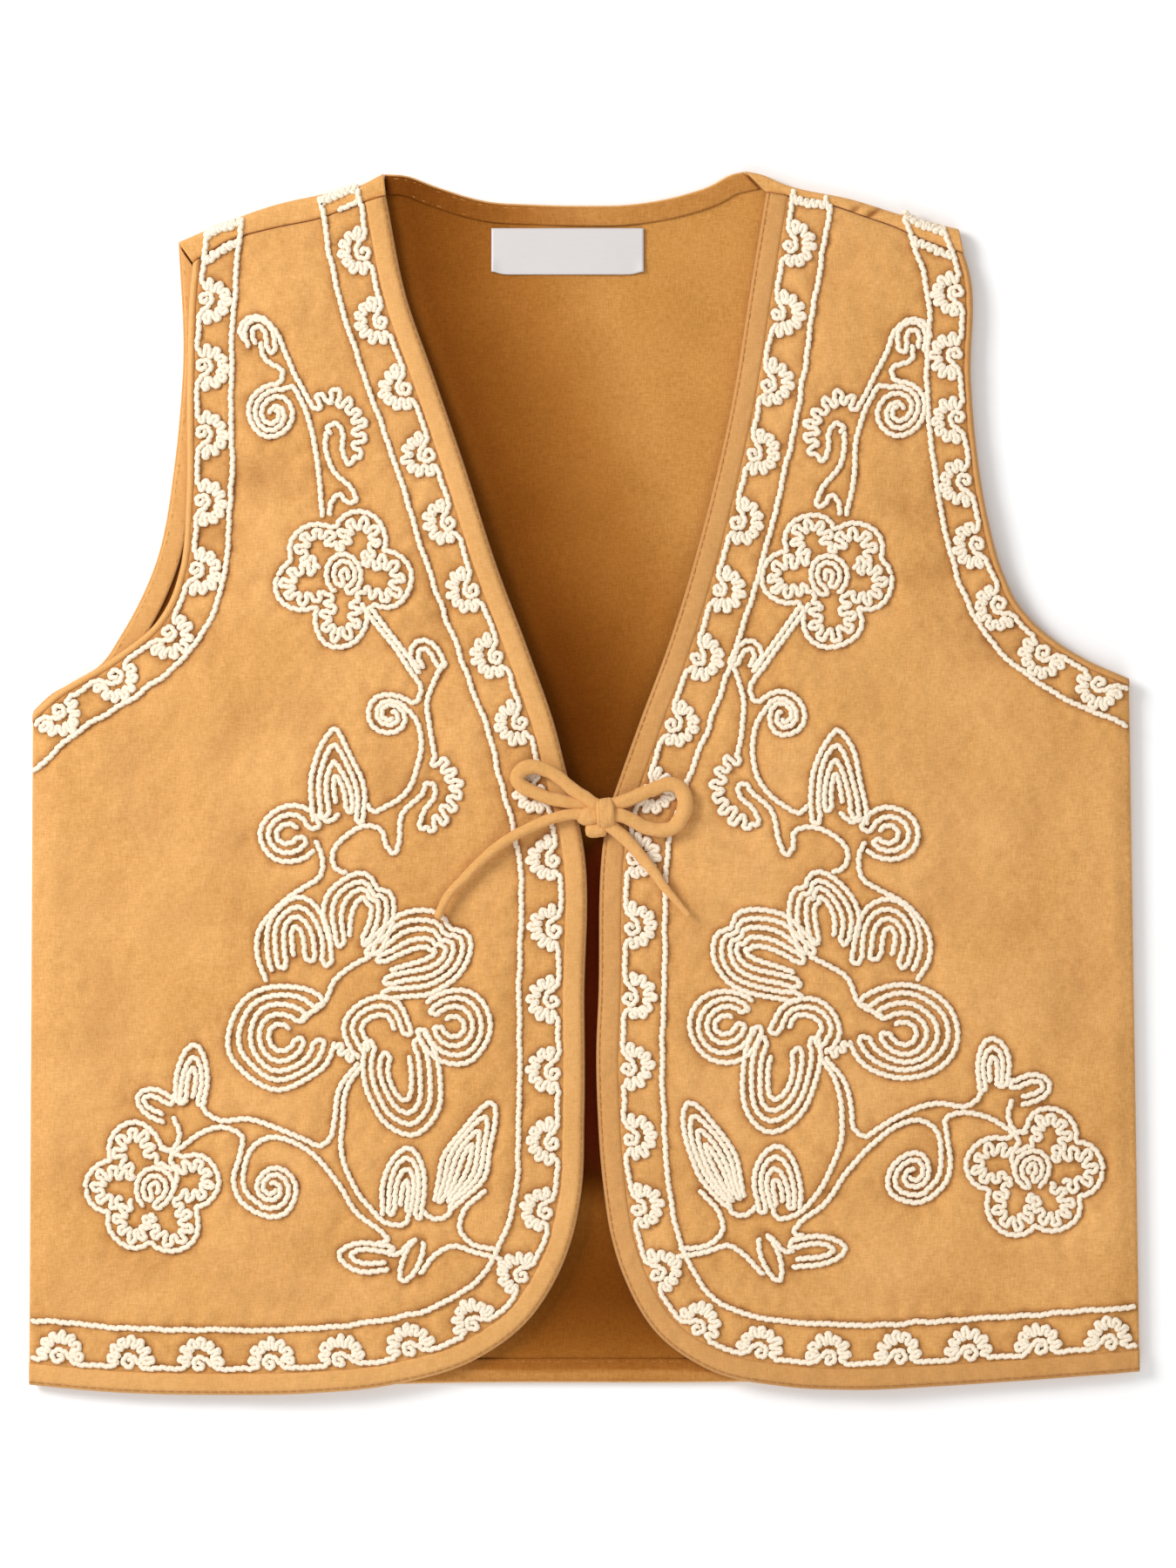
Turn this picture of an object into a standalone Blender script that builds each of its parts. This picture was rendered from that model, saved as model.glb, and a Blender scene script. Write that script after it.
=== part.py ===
"""A small child's waistcoat of ochre cotton, laid flat, tied at the front with a bow.

The back lies on the surface with its lining up, and the two fronts lie on it. The collar points to +Y,
the front faces +Z, and left and right are as seen from the front. Every size below is in millimetres.
Fronts are drawn in their own plan, where "out" is the distance from the centre line and y runs up the
garment, and each is then placed on its side. The back's shoulders fold forward over the top to meet the
fronts at forward seams.
"""

import math
from collections import namedtuple

import bmesh
import bpy
import numpy as np
from mathutils import Vector
from mathutils.geometry import delaunay_2d_cdt

MM = 0.001

# Walls: shell, thin wadding and lining, sewn as one cloth
CLOTH = 2.0
SEAM_GAP = 0.3
RIM = 0.8

# Edges
FRONT_BAND_WIDTH = 7.2
ARMHOLE_BAND_WIDTH = 2.4
BAND_THICKNESS = 2.3
BAND_PUFF = 0.25
FACING_THICKNESS = 0.6
FACING_INSET = 0.6
NECK_FACING_WIDTH = 5.8
HEM_FACING_WIDTH = 7.0
ARMHOLE_FACING_WIDTH = 6.4
LABEL_THICKNESS = 0.4

# Room between back and fronts
SIDE_GAP = 0.3
LYING_GAP = 1.2
SIDE_RISE = 8.0
LOFT = 2.5
LOFT_RUN = 110.0
SHOULDER_FLAT = 158.0
CHEST_FULL = 60.0
HEM_LEVEL = -190.0
HEM_LOFT_SHARE = 0.55
SKIRT_FULL = -100.0

# Shoulder fold of the back
FOLD_INNER_RADIUS = LYING_GAP / 2
FOLD_OUTER_RADIUS = FOLD_INNER_RADIUS + CLOTH
FOLD_STATIONS = 9
FOLD_STEPS = 4

# Tie
TIE_DIAMETER = 3.2
TIE_POINT_SPACING = 3.4
SLIT_CENTRE = 3.0
TIE_CLIMB_STARTS = 4.0
TIE_CLIMB = 6.0

# Embroidery cord
CORD_WIDTH = 1.7
CORD_HEIGHT = 1.0
BORDER_NEAR = 8.6
BORDER_FAR = 20.3
ARMHOLE_BORDER_FAR = 13.6
BORDER_END_GAP = 1.2
PETAL_DEPTH = 0.36
NOTCH_SOFTNESS = 0.12
POINTS_PER_PETAL = 9

# Spacing of points along edges and over cloth
FINE = 1.0
EDGE_STEP = 7.0
ARMHOLE_STEP = 5.5
FRONT_GRID = 16.0
BACK_GRID = 34.0
EXTENSION = 14.0

OCHRE = (0.74, 0.37, 0.115)
OCHRE_BAND = (0.76, 0.38, 0.125)
LINING = (0.50, 0.21, 0.05)
FACING = (0.42, 0.16, 0.035)
CREAM = (0.89, 0.75, 0.60)
LABEL = (0.78, 0.73, 0.72)

Front = namedtuple("Front", "name sign edge side armhole seam")
Flower = namedtuple("Flower", "name out y radius petals turn")

# Edge of each front from the shoulder seam down the neck, the front, the round corner and the hem.
# Columns: out, y
LEFT_EDGE = (
    (61.6, 182.1), (55.4, 151.3), (46.7, 126.2), (37.3, 98.7), (27.3, 67.6), (17.0, 40.1),
    (9.2, 17.7), (5.4, 2.8), (2.4, -8.5), (0.5, -18.0), (0.0, -67.6), (0.0, -102.5),
    (1.1, -128.1), (3.8, -141.1), (8.1, -152.4), (19.2, -168.6), (33.8, -178.9), (59.7, -186.7),
    (86.4, -189.4), (109.6, -189.9), (146.6, -189.1), (169.0, -187.2),
)
RIGHT_EDGE = (
    (56.4, 183.2), (52.4, 159.2), (45.4, 116.0), (37.5, 81.7), (25.1, 40.1), (17.8, 20.7),
    (9.5, -2.6), (7.0, -9.9), (5.9, -17.4), (4.3, -67.6), (3.7, -81.4), (4.1, -102.5),
    (5.7, -123.8), (8.4, -141.1), (11.9, -152.4), (23.0, -171.3), (39.4, -182.4), (61.8, -187.2),
    (83.4, -188.3), (104.8, -187.5), (130.7, -185.9), (171.2, -182.9),
)

# Armhole of each front from the underarm to the shoulder seam. Columns: out, y
LEFT_ARMHOLE = (
    (171.2, 21.7), (165.8, 26.6), (146.6, 38.5), (132.8, 49.8), (128.5, 56.8), (125.3, 67.1),
    (123.6, 86.0), (123.2, 124.6), (122.3, 153.5), (121.5, 161.3),
)
RIGHT_ARMHOLE = (
    (169.0, 32.3), (154.7, 38.7), (139.3, 49.8), (134.2, 56.0), (129.1, 67.1), (125.6, 79.8),
    (121.2, 107.3), (119.9, 124.6), (118.8, 160.8), (117.7, 164.0),
)

# Side seams from hem to underarm. Columns: out, y
LEFT_SIDE = ((172.3, -186.0), (171.2, 22.3))
RIGHT_SIDE = ((172.3, -182.0), (169.0, 32.3))

# Forward shoulder seams and shoulder folds, from the neck to the armhole. Columns: out, y
LEFT_SEAM = ((61.6, 182.1), (71.8, 178.9), (82.1, 175.1), (95.0, 172.4), (110.2, 168.1), (121.5, 161.3))
RIGHT_SEAM = ((56.4, 183.2), (76.4, 179.3), (87.8, 175.4), (96.4, 172.4), (104.5, 168.6), (117.7, 164.0))
LEFT_FOLD = ((62.4, 189.1), (71.0, 184.9), (81.3, 182.7), (95.0, 179.7), (115.3, 172.4), (126.1, 167.8))
RIGHT_FOLD = ((49.7, 189.9), (54.8, 188.9), (61.8, 185.9), (83.4, 181.0), (98.8, 176.2), (116.1, 171.9))

# Back neck from right to left, the left back armhole downwards, and the back hem from left to right.
# Columns: x, y
BACK_NECK = (
    (49.7, 189.9), (45.4, 188.9), (39.4, 185.6), (30.8, 182.7), (13.5, 179.6), (0.5, 179.3),
    (-16.7, 179.7), (-29.4, 180.5), (-46.7, 185.4), (-55.4, 188.6), (-62.4, 189.1),
)
BACK_LEFT_ARMHOLE = (
    (-126.1, 167.8), (-124.7, 130.5), (-125.6, 116.0), (-127.4, 98.7), (-133.4, 67.6), (-144.2, 45.5),
    (-150.1, 36.9), (-156.3, 32.5), (-165.8, 27.4), (-171.2, 22.3),
)
BACK_HEM = (
    (-172.3, -183.5), (-110.0, -187.4), (-34.0, -186.4), (48.0, -186.2), (105.0, -185.0), (172.3, -180.5),
)
HIDDEN_ARMHOLE_INSET = 1.5

# The label under the neck facing. It is bare
LABEL_LEFT = -28.9
LABEL_RIGHT = 18.4
LABEL_BOTTOM = 157.8
LABEL_TOP = 172.2

# Bow. Columns: x, y, height above the cloth's own resting height for a tie
KNOT_CENTRE = (6.2, -9.3)
KNOT_HALF = (3.2, 4.6, 2.9)
# The knot settles a little between the two bands
KNOT_SETTLES = 0.75
TIES = {
    "tie_loop_left": (
        (4.0, -3.4, 0.6), (-1.9, -1.2, 0.3), (-6.8, 2.3, 0.0), (-12.2, 4.7, 0.0), (-16.6, 5.4, 0.0),
        (-20.3, 3.1, 0.0), (-18.6, -0.6, 0.0), (-14.3, -3.6, 0.0), (-8.1, -5.4, 0.9), (-2.4, -6.3, 2.6),
        (1.9, -6.6, 3.4),
    ),
    "tie_tail_left": (
        (1.8, -9.9, 0.2), (-4.1, -10.1, 0.0), (-10.0, -10.7, 0.0), (-16.2, -12.8, 0.0),
        (-22.4, -16.1, 0.0), (-28.6, -21.2, 0.0), (-36.5, -28.8, 0.0), (-42.7, -35.8, 0.0),
        (-45.6, -42.0, 0.0),
    ),
    "tie_loop_right": (
        (10.4, -5.0, 1.0), (14.6, -3.1, 0.4), (20.8, -1.2, 0.0), (27.0, 0.2, 0.0), (30.8, -2.2, 0.0),
        (32.0, -7.4, 0.0), (29.4, -12.3, 0.0), (25.1, -14.2, 0.0), (18.9, -13.1, 0.0),
        (14.0, -10.7, 0.6), (11.2, -9.7, 1.0),
    ),
    "tie_tail_right": (
        (9.8, -15.3, 0.3), (12.7, -18.7, 0.0), (16.7, -23.4, 0.0), (20.8, -28.6, 0.0),
        (25.1, -33.3, 0.0), (29.2, -37.9, 0.0), (32.9, -41.7, 0.0),
    ),
}
# The left tie's root crosses the slit just under the knot. Columns: x, y, z
TIE_ROOT = ((-0.1, -15.6, 6.3), (1.4, -16.0, 6.5), (2.9, -15.9, 6.6), (4.0, -15.4, 6.7))
TIE_ROOT_DIAMETER = 2.6

# Embroidered sprays: flowers, and the stems between them in columns out, y
FLOWERS = {
    "left": (
        Flower("bloom", 69.0, -67.5, 36.0, 5, 0.25),
        Flower("upper_flower", 75.0, 63.0, 18.5, 5, 0.1),
        Flower("side_flower", 133.5, -126.0, 18.5, 5, 0.5),
    ),
    "right": (
        Flower("bloom", 74.0, -66.5, 36.0, 5, 0.25),
        Flower("upper_flower", 77.0, 63.0, 18.5, 5, 0.1),
        Flower("side_flower", 138.0, -120.5, 18.5, 5, 0.5),
    ),
}
STEMS = {
    "upper_stem": ((96.0, 143.0), (90.0, 128.0), (84.5, 112.0), (81.5, 98.0), (80.0, 85.0)),
    "middle_stem": ((66.0, 40.0), (61.0, 24.0), (60.5, 6.0), (64.0, -12.0), (70.0, -27.0)),
    "lower_stem": ((68.0, -108.0), (63.5, -122.0), (61.0, -138.0), (62.0, -152.0)),
    "side_stem": ((84.0, -104.0), (92.0, -114.0), (101.0, -121.0), (111.0, -124.0)),
}


def smoothstep(value):
    """Ease from 0 to 1."""
    clipped = min(max(value, 0.0), 1.0)
    return clipped * clipped * (3.0 - 2.0 * clipped)


def resample(curve, step):
    """Points spaced evenly along a polyline, its two ends kept."""
    curve = np.asarray(curve, float)
    lengths = np.concatenate(([0.0], np.cumsum(np.linalg.norm(np.diff(curve, axis=0), axis=1))))
    count = max(2, round(lengths[-1] / step) + 1)
    places = np.linspace(0.0, lengths[-1], count)
    return np.stack([np.interp(places, lengths, curve[:, axis]) for axis in range(curve.shape[1])], axis=1)


def smooth(points, step=FINE):
    """A smooth curve through a table's points, sampled evenly."""
    points = np.asarray(points, float)
    if len(points) < 3:
        return resample(points, step)
    spans = np.linalg.norm(np.diff(points, axis=0), axis=1)[:, None]
    slopes = np.diff(points, axis=0) / spans
    inner = (slopes[:-1] * spans[1:] + slopes[1:] * spans[:-1]) / (spans[:-1] + spans[1:])
    tangents = np.vstack((slopes[:1], inner, slopes[-1:]))
    dense = []
    for index, span in enumerate(spans[:, 0]):
        for t in np.linspace(0.0, 1.0, 24, endpoint=False):
            rise = t * t * (3.0 - 2.0 * t)
            lead = t * (1.0 - t) ** 2 * span
            trail = t * t * (t - 1.0) * span
            place = points[index] * (1.0 - rise) + points[index + 1] * rise
            dense.append(place + tangents[index] * lead + tangents[index + 1] * trail)
    dense.append(points[-1])
    return resample(dense, step)


def extend(curve, length=EXTENSION):
    """The curve with straight leads past both ends, so that it crosses its neighbours."""
    head = (curve[0] - curve[2]) / np.linalg.norm(curve[0] - curve[2])
    tail = (curve[-1] - curve[-3]) / np.linalg.norm(curve[-1] - curve[-3])
    steps = np.arange(FINE, length, FINE)[:, None]
    return np.vstack((curve[0] + head * steps[::-1], curve, curve[-1] + tail * steps))


def offset(curve, distance):
    """The curve moved to the left of its travel, which is into the cloth."""
    tangent = np.gradient(curve, axis=0)
    tangent = tangent / np.linalg.norm(tangent, axis=1)[:, None]
    return curve + distance * np.stack((-tangent[:, 1], tangent[:, 0]), axis=1)


def crossings(first, second):
    """Places where two polylines cross, as fractional indices on each."""
    found = []
    start, run = first[:-1], np.diff(first, axis=0)
    for index in range(len(second) - 1):
        other, other_run = second[index], second[index + 1] - second[index]
        turn = run[:, 0] * other_run[1] - run[:, 1] * other_run[0]
        turn = np.where(abs(turn) < 1e-12, 1e-12, turn)
        away = other - start
        along = (away[:, 0] * other_run[1] - away[:, 1] * other_run[0]) / turn
        across = (away[:, 0] * run[:, 1] - away[:, 1] * run[:, 0]) / turn
        for hit in np.nonzero((along >= 0) & (along <= 1) & (across >= 0) & (across <= 1))[0]:
            found.append((hit + along[hit], index + across[hit]))
    return sorted(found)


def at(curve, index):
    """The point at a fractional index of a polyline."""
    low = min(int(index), len(curve) - 2)
    share = index - low
    return curve[low] * (1.0 - share) + curve[low + 1] * share


def stretch(curve, start, end):
    """The part of a polyline between two fractional indices."""
    inner = curve[math.ceil(start + 0.05):math.floor(end - 0.05) + 1]
    return np.vstack((at(curve, start), inner, at(curve, end)))


def enclose(edges, steps):
    """The closed outline that a ring of crossing edges bounds, each sampled at its own step."""
    ends = [crossings(edge, edges[(index + 1) % len(edges)])[-1] for index, edge in enumerate(edges)]
    outline = []
    for index, edge in enumerate(edges):
        part = stretch(edge, ends[index - 1][1], ends[index][0])
        outline.extend(resample(part, steps[index])[:-1])
    return np.array(outline)


def rise_of_front(out, y):
    """How far a front's underside lies above the back."""
    side = 171.5 - out
    shoulder_share = smoothstep((SHOULDER_FLAT - y) / (SHOULDER_FLAT - CHEST_FULL))
    hem_share = 1.0 - (1.0 - HEM_LOFT_SHARE) * smoothstep((SKIRT_FULL - y) / (SKIRT_FULL - HEM_LEVEL))
    lying = SIDE_GAP + (LYING_GAP - SIDE_GAP) * smoothstep(side / SIDE_RISE)
    return lying + LOFT * smoothstep(side / LOFT_RUN) * shoulder_share * hem_share


def front_floor(out, y):
    """Height of a front's underside."""
    return CLOTH + rise_of_front(out, y)


def make_object(name, mesh, colour, roughness=0.85):
    """Link a mesh or curve as one piece with a material of its own."""
    piece = bpy.data.objects.new(name, mesh)
    bpy.context.collection.objects.link(piece)
    material = bpy.data.materials.new(name + "_finish")
    material.use_nodes = True
    shader = material.node_tree.nodes["Principled BSDF"]
    shader.inputs["Base Color"].default_value = (*colour, 1.0)
    shader.inputs["Roughness"].default_value = roughness
    shader.inputs["Metallic"].default_value = 0.0
    piece.data.materials.append(material)
    return piece


def make_solid(name, points, faces, colour, roughness=0.85):
    """A closed mesh from points in millimetres, its faces turned outwards and shaded smooth."""
    build = bmesh.new()
    verts = [build.verts.new((x * MM, y * MM, z * MM)) for x, y, z in points]
    for face in faces:
        build.faces.new([verts[index] for index in face])
    bmesh.ops.triangulate(build, faces=build.faces[:])
    bmesh.ops.recalc_face_normals(build, faces=build.faces[:])
    mesh = bpy.data.meshes.new(name)
    build.to_mesh(mesh)
    build.free()
    mesh.shade_smooth()
    mesh.set_sharp_from_angle(angle=math.radians(50.0))
    return make_object(name, mesh, colour, roughness)


def loft(name, rings, colour, closed=False, roughness=0.85):
    """A solid through rings of equal count, capped at its ends or closed on itself."""
    count = len(rings[0])
    points = [point for ring in rings for point in ring]
    faces = []
    spans = len(rings) if closed else len(rings) - 1
    for station in range(spans):
        here, after = station * count, ((station + 1) % len(rings)) * count
        for index in range(count):
            following = (index + 1) % count
            faces.append((here + index, after + index, after + following, here + following))
    if not closed:
        faces.append(tuple(range(count)))
        faces.append(tuple(range(len(points) - count, len(points))))
    return make_solid(name, points, faces, colour, roughness)


def inside(point, outline):
    """Whether a point lies within a closed outline."""
    x, y = point
    ax, ay = outline[:, 0], outline[:, 1]
    bx, by = np.roll(ax, -1), np.roll(ay, -1)
    spans = (ay > y) != (by > y)
    reach = ax + (y - ay) / np.where(by == ay, 1e-9, by - ay) * (bx - ax)
    return np.count_nonzero(spans & (x < reach)) % 2 == 1


def fill(ring, grid):
    """Points and triangles that fill a closed ring, with loose points on a grid inside it."""
    low, high = ring.min(axis=0), ring.max(axis=0)
    points = [Vector(point) for point in ring]
    for row, y in enumerate(np.arange(low[1] + grid / 2, high[1], grid * 0.87)):
        for x in np.arange(low[0] + grid / 2 + (row % 2) * grid / 2, high[0], grid):
            clear = np.linalg.norm(ring - (x, y), axis=1).min() > grid * 0.55
            if clear and inside((x, y), ring):
                points.append(Vector((x, y)))
    filled = delaunay_2d_cdt(points, [], [list(range(len(ring)))], 1, 1e-6)
    return filled[0], filled[2]


def inset_ring(outline, distance):
    """The outline moved inwards at each point, for an outline that runs anticlockwise."""
    ahead = np.roll(outline, -1, axis=0) - outline
    behind = outline - np.roll(outline, 1, axis=0)
    ahead = ahead / np.linalg.norm(ahead, axis=1)[:, None]
    behind = behind / np.linalg.norm(behind, axis=1)[:, None]
    normal = np.stack((-(ahead + behind)[:, 1], (ahead + behind)[:, 0]), axis=1)
    normal = normal / np.linalg.norm(normal, axis=1)[:, None]
    spread = np.maximum(normal[:, 0] * -ahead[:, 1] + normal[:, 1] * ahead[:, 0], 0.6)
    return outline + normal * (distance / spread)[:, None]


def front_point(front, out, y, z):
    """A point of a front's plan, placed on its side of the garment."""
    return (front.sign * out, y, z)


def front_panel(front):
    """One front's cloth, from its seams to the inner edges of its bands."""
    edges = (
        offset(extend(front.edge), FRONT_BAND_WIDTH + SEAM_GAP),
        extend(front.side),
        offset(extend(front.armhole), ARMHOLE_BAND_WIDTH + SEAM_GAP),
        offset(extend(front.seam), SEAM_GAP / 2),
    )
    outline = enclose(edges, (EDGE_STEP, 2 * EDGE_STEP, ARMHOLE_STEP, EDGE_STEP))
    ring = inset_ring(outline, RIM)
    plan, triangles = fill(ring, FRONT_GRID)
    count, filled = len(outline), len(plan)
    points = []
    for out, y in outline:
        points.append(front_point(front, out, y, front_floor(out, y) + CLOTH / 2))
    for height in (0.0, CLOTH):
        for out, y in plan:
            points.append(front_point(front, out, y, front_floor(out, y) + height))
    faces = []
    for level in (count, count + filled):
        faces.extend(tuple(level + index for index in face) for face in triangles)
        for index in range(count):
            following = (index + 1) % count
            faces.append((index, following, level + following, level + index))
    return make_solid("front_" + front.name, points, faces, OCHRE)


def strip_rings(edge, profile, starts_at, ends_at, step, floor, place):
    """Sections of a strip along an edge, its ends cut to the two lines that it meets.

    A profile row holds the distance in from the edge and the height over the floor.
    """
    fade = 14.0
    columns = {}
    for distance, _ in profile:
        moved = offset(edge, distance)
        begin = crossings(moved, starts_at)[0][0]
        finish = crossings(moved, ends_at)[-1][0]
        columns[distance] = (moved, begin, finish)
    first, last = columns[profile[0][0]][1:]
    stations = np.linspace(first, last, max(2, round((last - first) * FINE / step) + 1))
    rings = []
    for station in stations:
        ring = []
        for distance, height in profile:
            moved, begin, finish = columns[distance]
            head = max(0.0, 1.0 - (station - first) / fade)
            tail = max(0.0, 1.0 - (last - station) / fade)
            index = station + (begin - first) * head + (finish - last) * tail
            u, v = at(moved, index)
            ring.append(place(u, v, floor(u, v) + height))
        rings.append(ring)
    return rings


def band_profile(width, thickness, puff):
    """Rounded flat section of a bound edge. Columns: distance in from the edge, height."""
    return (
        (0.0, thickness * 0.5), (RIM, thickness), (width / 2, thickness + puff), (width - RIM, thickness),
        (width, thickness * 0.5), (width - RIM, 0.0), (RIM, 0.0),
    )


def front_bands(front):
    """The bound front edge, and the narrow bound armhole, of one front."""
    def place(out, y, z):
        return front_point(front, out, y, z)

    seam = offset(extend(front.seam), SEAM_GAP / 2)
    side = extend(front.side)
    wide = band_profile(FRONT_BAND_WIDTH, BAND_THICKNESS, BAND_PUFF)
    edge = extend(front.edge)
    rings = strip_rings(edge, wide, seam, side, EDGE_STEP, front_floor, place)
    loft("edge_band_" + front.name, rings, OCHRE_BAND)
    narrow = band_profile(ARMHOLE_BAND_WIDTH, BAND_THICKNESS, 0.1)
    armhole = extend(front.armhole)
    rings = strip_rings(armhole, narrow, side, seam, ARMHOLE_STEP, front_floor, place)
    loft("armhole_band_" + front.name, rings, OCHRE_BAND)


def fold_section(fold_point, seam_point):
    """Outer and inner lines of the back's cloth as it turns forward over a shoulder, and its end."""
    run = seam_point - fold_point
    reach = np.linalg.norm(run)
    inward = run / reach
    centre = fold_point + inward * FOLD_OUTER_RADIUS
    outer, inner = [], []
    for step in range(FOLD_STEPS + 1):
        angle = math.pi * (step / FOLD_STEPS - 0.5)
        for radius, line in ((FOLD_OUTER_RADIUS, outer), (FOLD_INNER_RADIUS, inner)):
            x, y = centre - inward * radius * math.cos(angle)
            line.append((x, y, FOLD_OUTER_RADIUS + radius * math.sin(angle)))
    end = fold_point + inward * (reach - SEAM_GAP / 2)
    shoulder = end - inward * RIM
    outer.append((*shoulder, 2 * FOLD_OUTER_RADIUS))
    inner.append((*shoulder, FOLD_OUTER_RADIUS + FOLD_INNER_RADIUS))
    tip = (*end, FOLD_OUTER_RADIUS + (FOLD_OUTER_RADIUS + FOLD_INNER_RADIUS) / 2)
    return outer, inner, tip


def back_outline(fronts):
    """The back's outline anticlockwise, with the seam point of each station on a shoulder fold."""
    stations = []

    def add_edge(curve, step):
        for point in resample(curve, step)[1:-1]:
            stations.append((point, None))

    def add_fold(fold, seam, sign, backwards):
        pairs = []
        shares = np.linspace(0.0, 1.0, FOLD_STATIONS)
        for share in shares:
            over = at(fold, share * (len(fold) - 1)) * (sign, 1.0)
            front = at(seam, (1.0 - share) * (len(seam) - 1)) * (sign, 1.0)
            pairs.append((over, front))
        stations.extend(reversed(pairs) if backwards else pairs)

    left, right = fronts
    right_side = right.side
    hidden = offset(extend(right.armhole), HIDDEN_ARMHOLE_INSET)
    start, _ = crossings(hidden, extend(right_side))[0]
    hidden = stretch(hidden, start, len(hidden) - 1 - EXTENSION)
    add_edge(smooth(BACK_NECK), EDGE_STEP)
    add_fold(smooth(LEFT_FOLD), left.seam, -1.0, False)
    add_edge(smooth(BACK_LEFT_ARMHOLE), EDGE_STEP)
    stations.append((np.array(BACK_LEFT_ARMHOLE[-1]), None))
    add_edge(np.array((BACK_LEFT_ARMHOLE[-1], BACK_HEM[0])), 4 * EDGE_STEP)
    stations.append((np.array(BACK_HEM[0]), None))
    add_edge(smooth(BACK_HEM), 2 * EDGE_STEP)
    stations.append((np.array(BACK_HEM[-1]), None))
    add_edge(np.array((BACK_HEM[-1], hidden[0])), 4 * EDGE_STEP)
    stations.append((hidden[0], None))
    add_edge(hidden, EDGE_STEP)
    add_fold(smooth(RIGHT_FOLD), right.seam, 1.0, True)
    return stations


def back_panel(fronts):
    """The back: a flat cloth whose shoulders turn forward over the top."""
    stations = back_outline(fronts)
    outline = np.array([point for point, _ in stations])
    ring = inset_ring(outline, RIM)
    for index, (fold_point, seam_point) in enumerate(stations):
        if seam_point is not None:
            run = seam_point - fold_point
            ring[index] = fold_point + run / np.linalg.norm(run) * FOLD_OUTER_RADIUS
    plan, triangles = fill(ring, BACK_GRID)
    count, filled = len(ring), len(plan)
    points = [(x, y, 0.0) for x, y in plan] + [(x, y, CLOTH) for x, y in plan]
    faces = [tuple(face) for face in triangles]
    faces += [tuple(filled + index for index in face) for face in triangles]
    sections = []
    for index, (fold_point, seam_point) in enumerate(stations):
        low, high = index, filled + index
        if seam_point is None:
            points.append((*fold_point, CLOTH / 2))
            sections.append((low, (len(points) - 1,), high))
            continue
        outer, inner, tip = fold_section(fold_point, seam_point)
        first = len(points)
        points += outer[1:] + [tip] + inner[:0:-1]
        sections.append((low, tuple(range(first, len(points))), high))
    for index in range(count):
        low, between, high = sections[index]
        next_low, next_between, next_high = sections[(index + 1) % count]
        here = (low, *between, high)
        after = (next_low, *next_between, next_high)
        if len(here) == len(after):
            for step in range(len(here) - 1):
                faces.append((here[step], after[step], after[step + 1], here[step + 1]))
            continue
        folded, plain = (here, after) if len(here) > len(after) else (after, here)
        faces.append((plain[0], folded[0], plain[1]))
        faces.append((plain[1], folded[0], folded[-1]))
        faces.append((plain[1], folded[-1], plain[2]))
        for step in range(len(folded) // 2):
            corners = (folded[step], folded[step + 1], folded[-2 - step], folded[-1 - step])
            faces.append(tuple(dict.fromkeys(corners)))
    return make_solid("back", points, faces, LINING)


def flat_floor(x, y):
    """Height of what lies on the back's lining."""
    return CLOTH + SEAM_GAP


def flat_place(x, y, z):
    """A point of the back, which is drawn where it lies."""
    return (x, y, z)


def facing(name, edge, width, starts_at, ends_at, step):
    """A narrow facing strip, sewn along the inside of the back's edge."""
    profile = (
        (FACING_INSET, FACING_THICKNESS / 2), (FACING_INSET + 0.4, FACING_THICKNESS),
        (FACING_INSET + width - 0.4, FACING_THICKNESS), (FACING_INSET + width, FACING_THICKNESS / 2),
        (FACING_INSET + width - 0.4, 0.0), (FACING_INSET + 0.4, 0.0),
    )
    rings = strip_rings(edge, profile, starts_at, ends_at, step, flat_floor, flat_place)
    loft(name, rings, FACING)


def back_facings():
    """The facings that show inside the neck, the left armhole and the hem."""
    neck = extend(smooth(BACK_NECK))
    right_end = np.array(((40.0, 197.0), (62.0, 175.0)))
    left_end = np.array(((-60.0, 200.0), (-60.0, 170.0)))
    facing("neck_facing", neck, NECK_FACING_WIDTH, right_end, left_end, EDGE_STEP)
    armhole = extend(smooth(BACK_LEFT_ARMHOLE))
    top_end = np.array(((-130.0, 160.0), (-110.0, 160.0)))
    under_end = np.array(((-161.0, 45.0), (-161.0, 15.0)))
    facing("armhole_facing_left", armhole, ARMHOLE_FACING_WIDTH, top_end, under_end, EDGE_STEP)
    hem = smooth(BACK_HEM)
    hem_left = np.array(((-162.0, -200.0), (-162.0, -160.0)))
    hem_right = np.array(((162.0, -200.0), (162.0, -160.0)))
    facing("hem_facing", hem, HEM_FACING_WIDTH, hem_left, hem_right, 2 * EDGE_STEP)


def label():
    """The bare satin label under the neck facing."""
    low, high = CLOTH + SEAM_GAP, CLOTH + SEAM_GAP + LABEL_THICKNESS
    build = bmesh.new()
    corners = (
        (LABEL_LEFT, LABEL_BOTTOM), (LABEL_RIGHT, LABEL_BOTTOM), (LABEL_RIGHT, LABEL_TOP), (LABEL_LEFT, LABEL_TOP),
    )
    face = build.faces.new([build.verts.new((x * MM, y * MM, low * MM)) for x, y in corners])
    grown = bmesh.ops.extrude_face_region(build, geom=[face])
    raised = [item for item in grown["geom"] if isinstance(item, bmesh.types.BMVert)]
    bmesh.ops.translate(build, verts=raised, vec=(0.0, 0.0, (high - low) * MM))
    bmesh.ops.recalc_face_normals(build, faces=build.faces[:])
    mesh = bpy.data.meshes.new("label")
    build.to_mesh(mesh)
    build.free()
    make_object("label", mesh, LABEL, 0.45)


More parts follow.
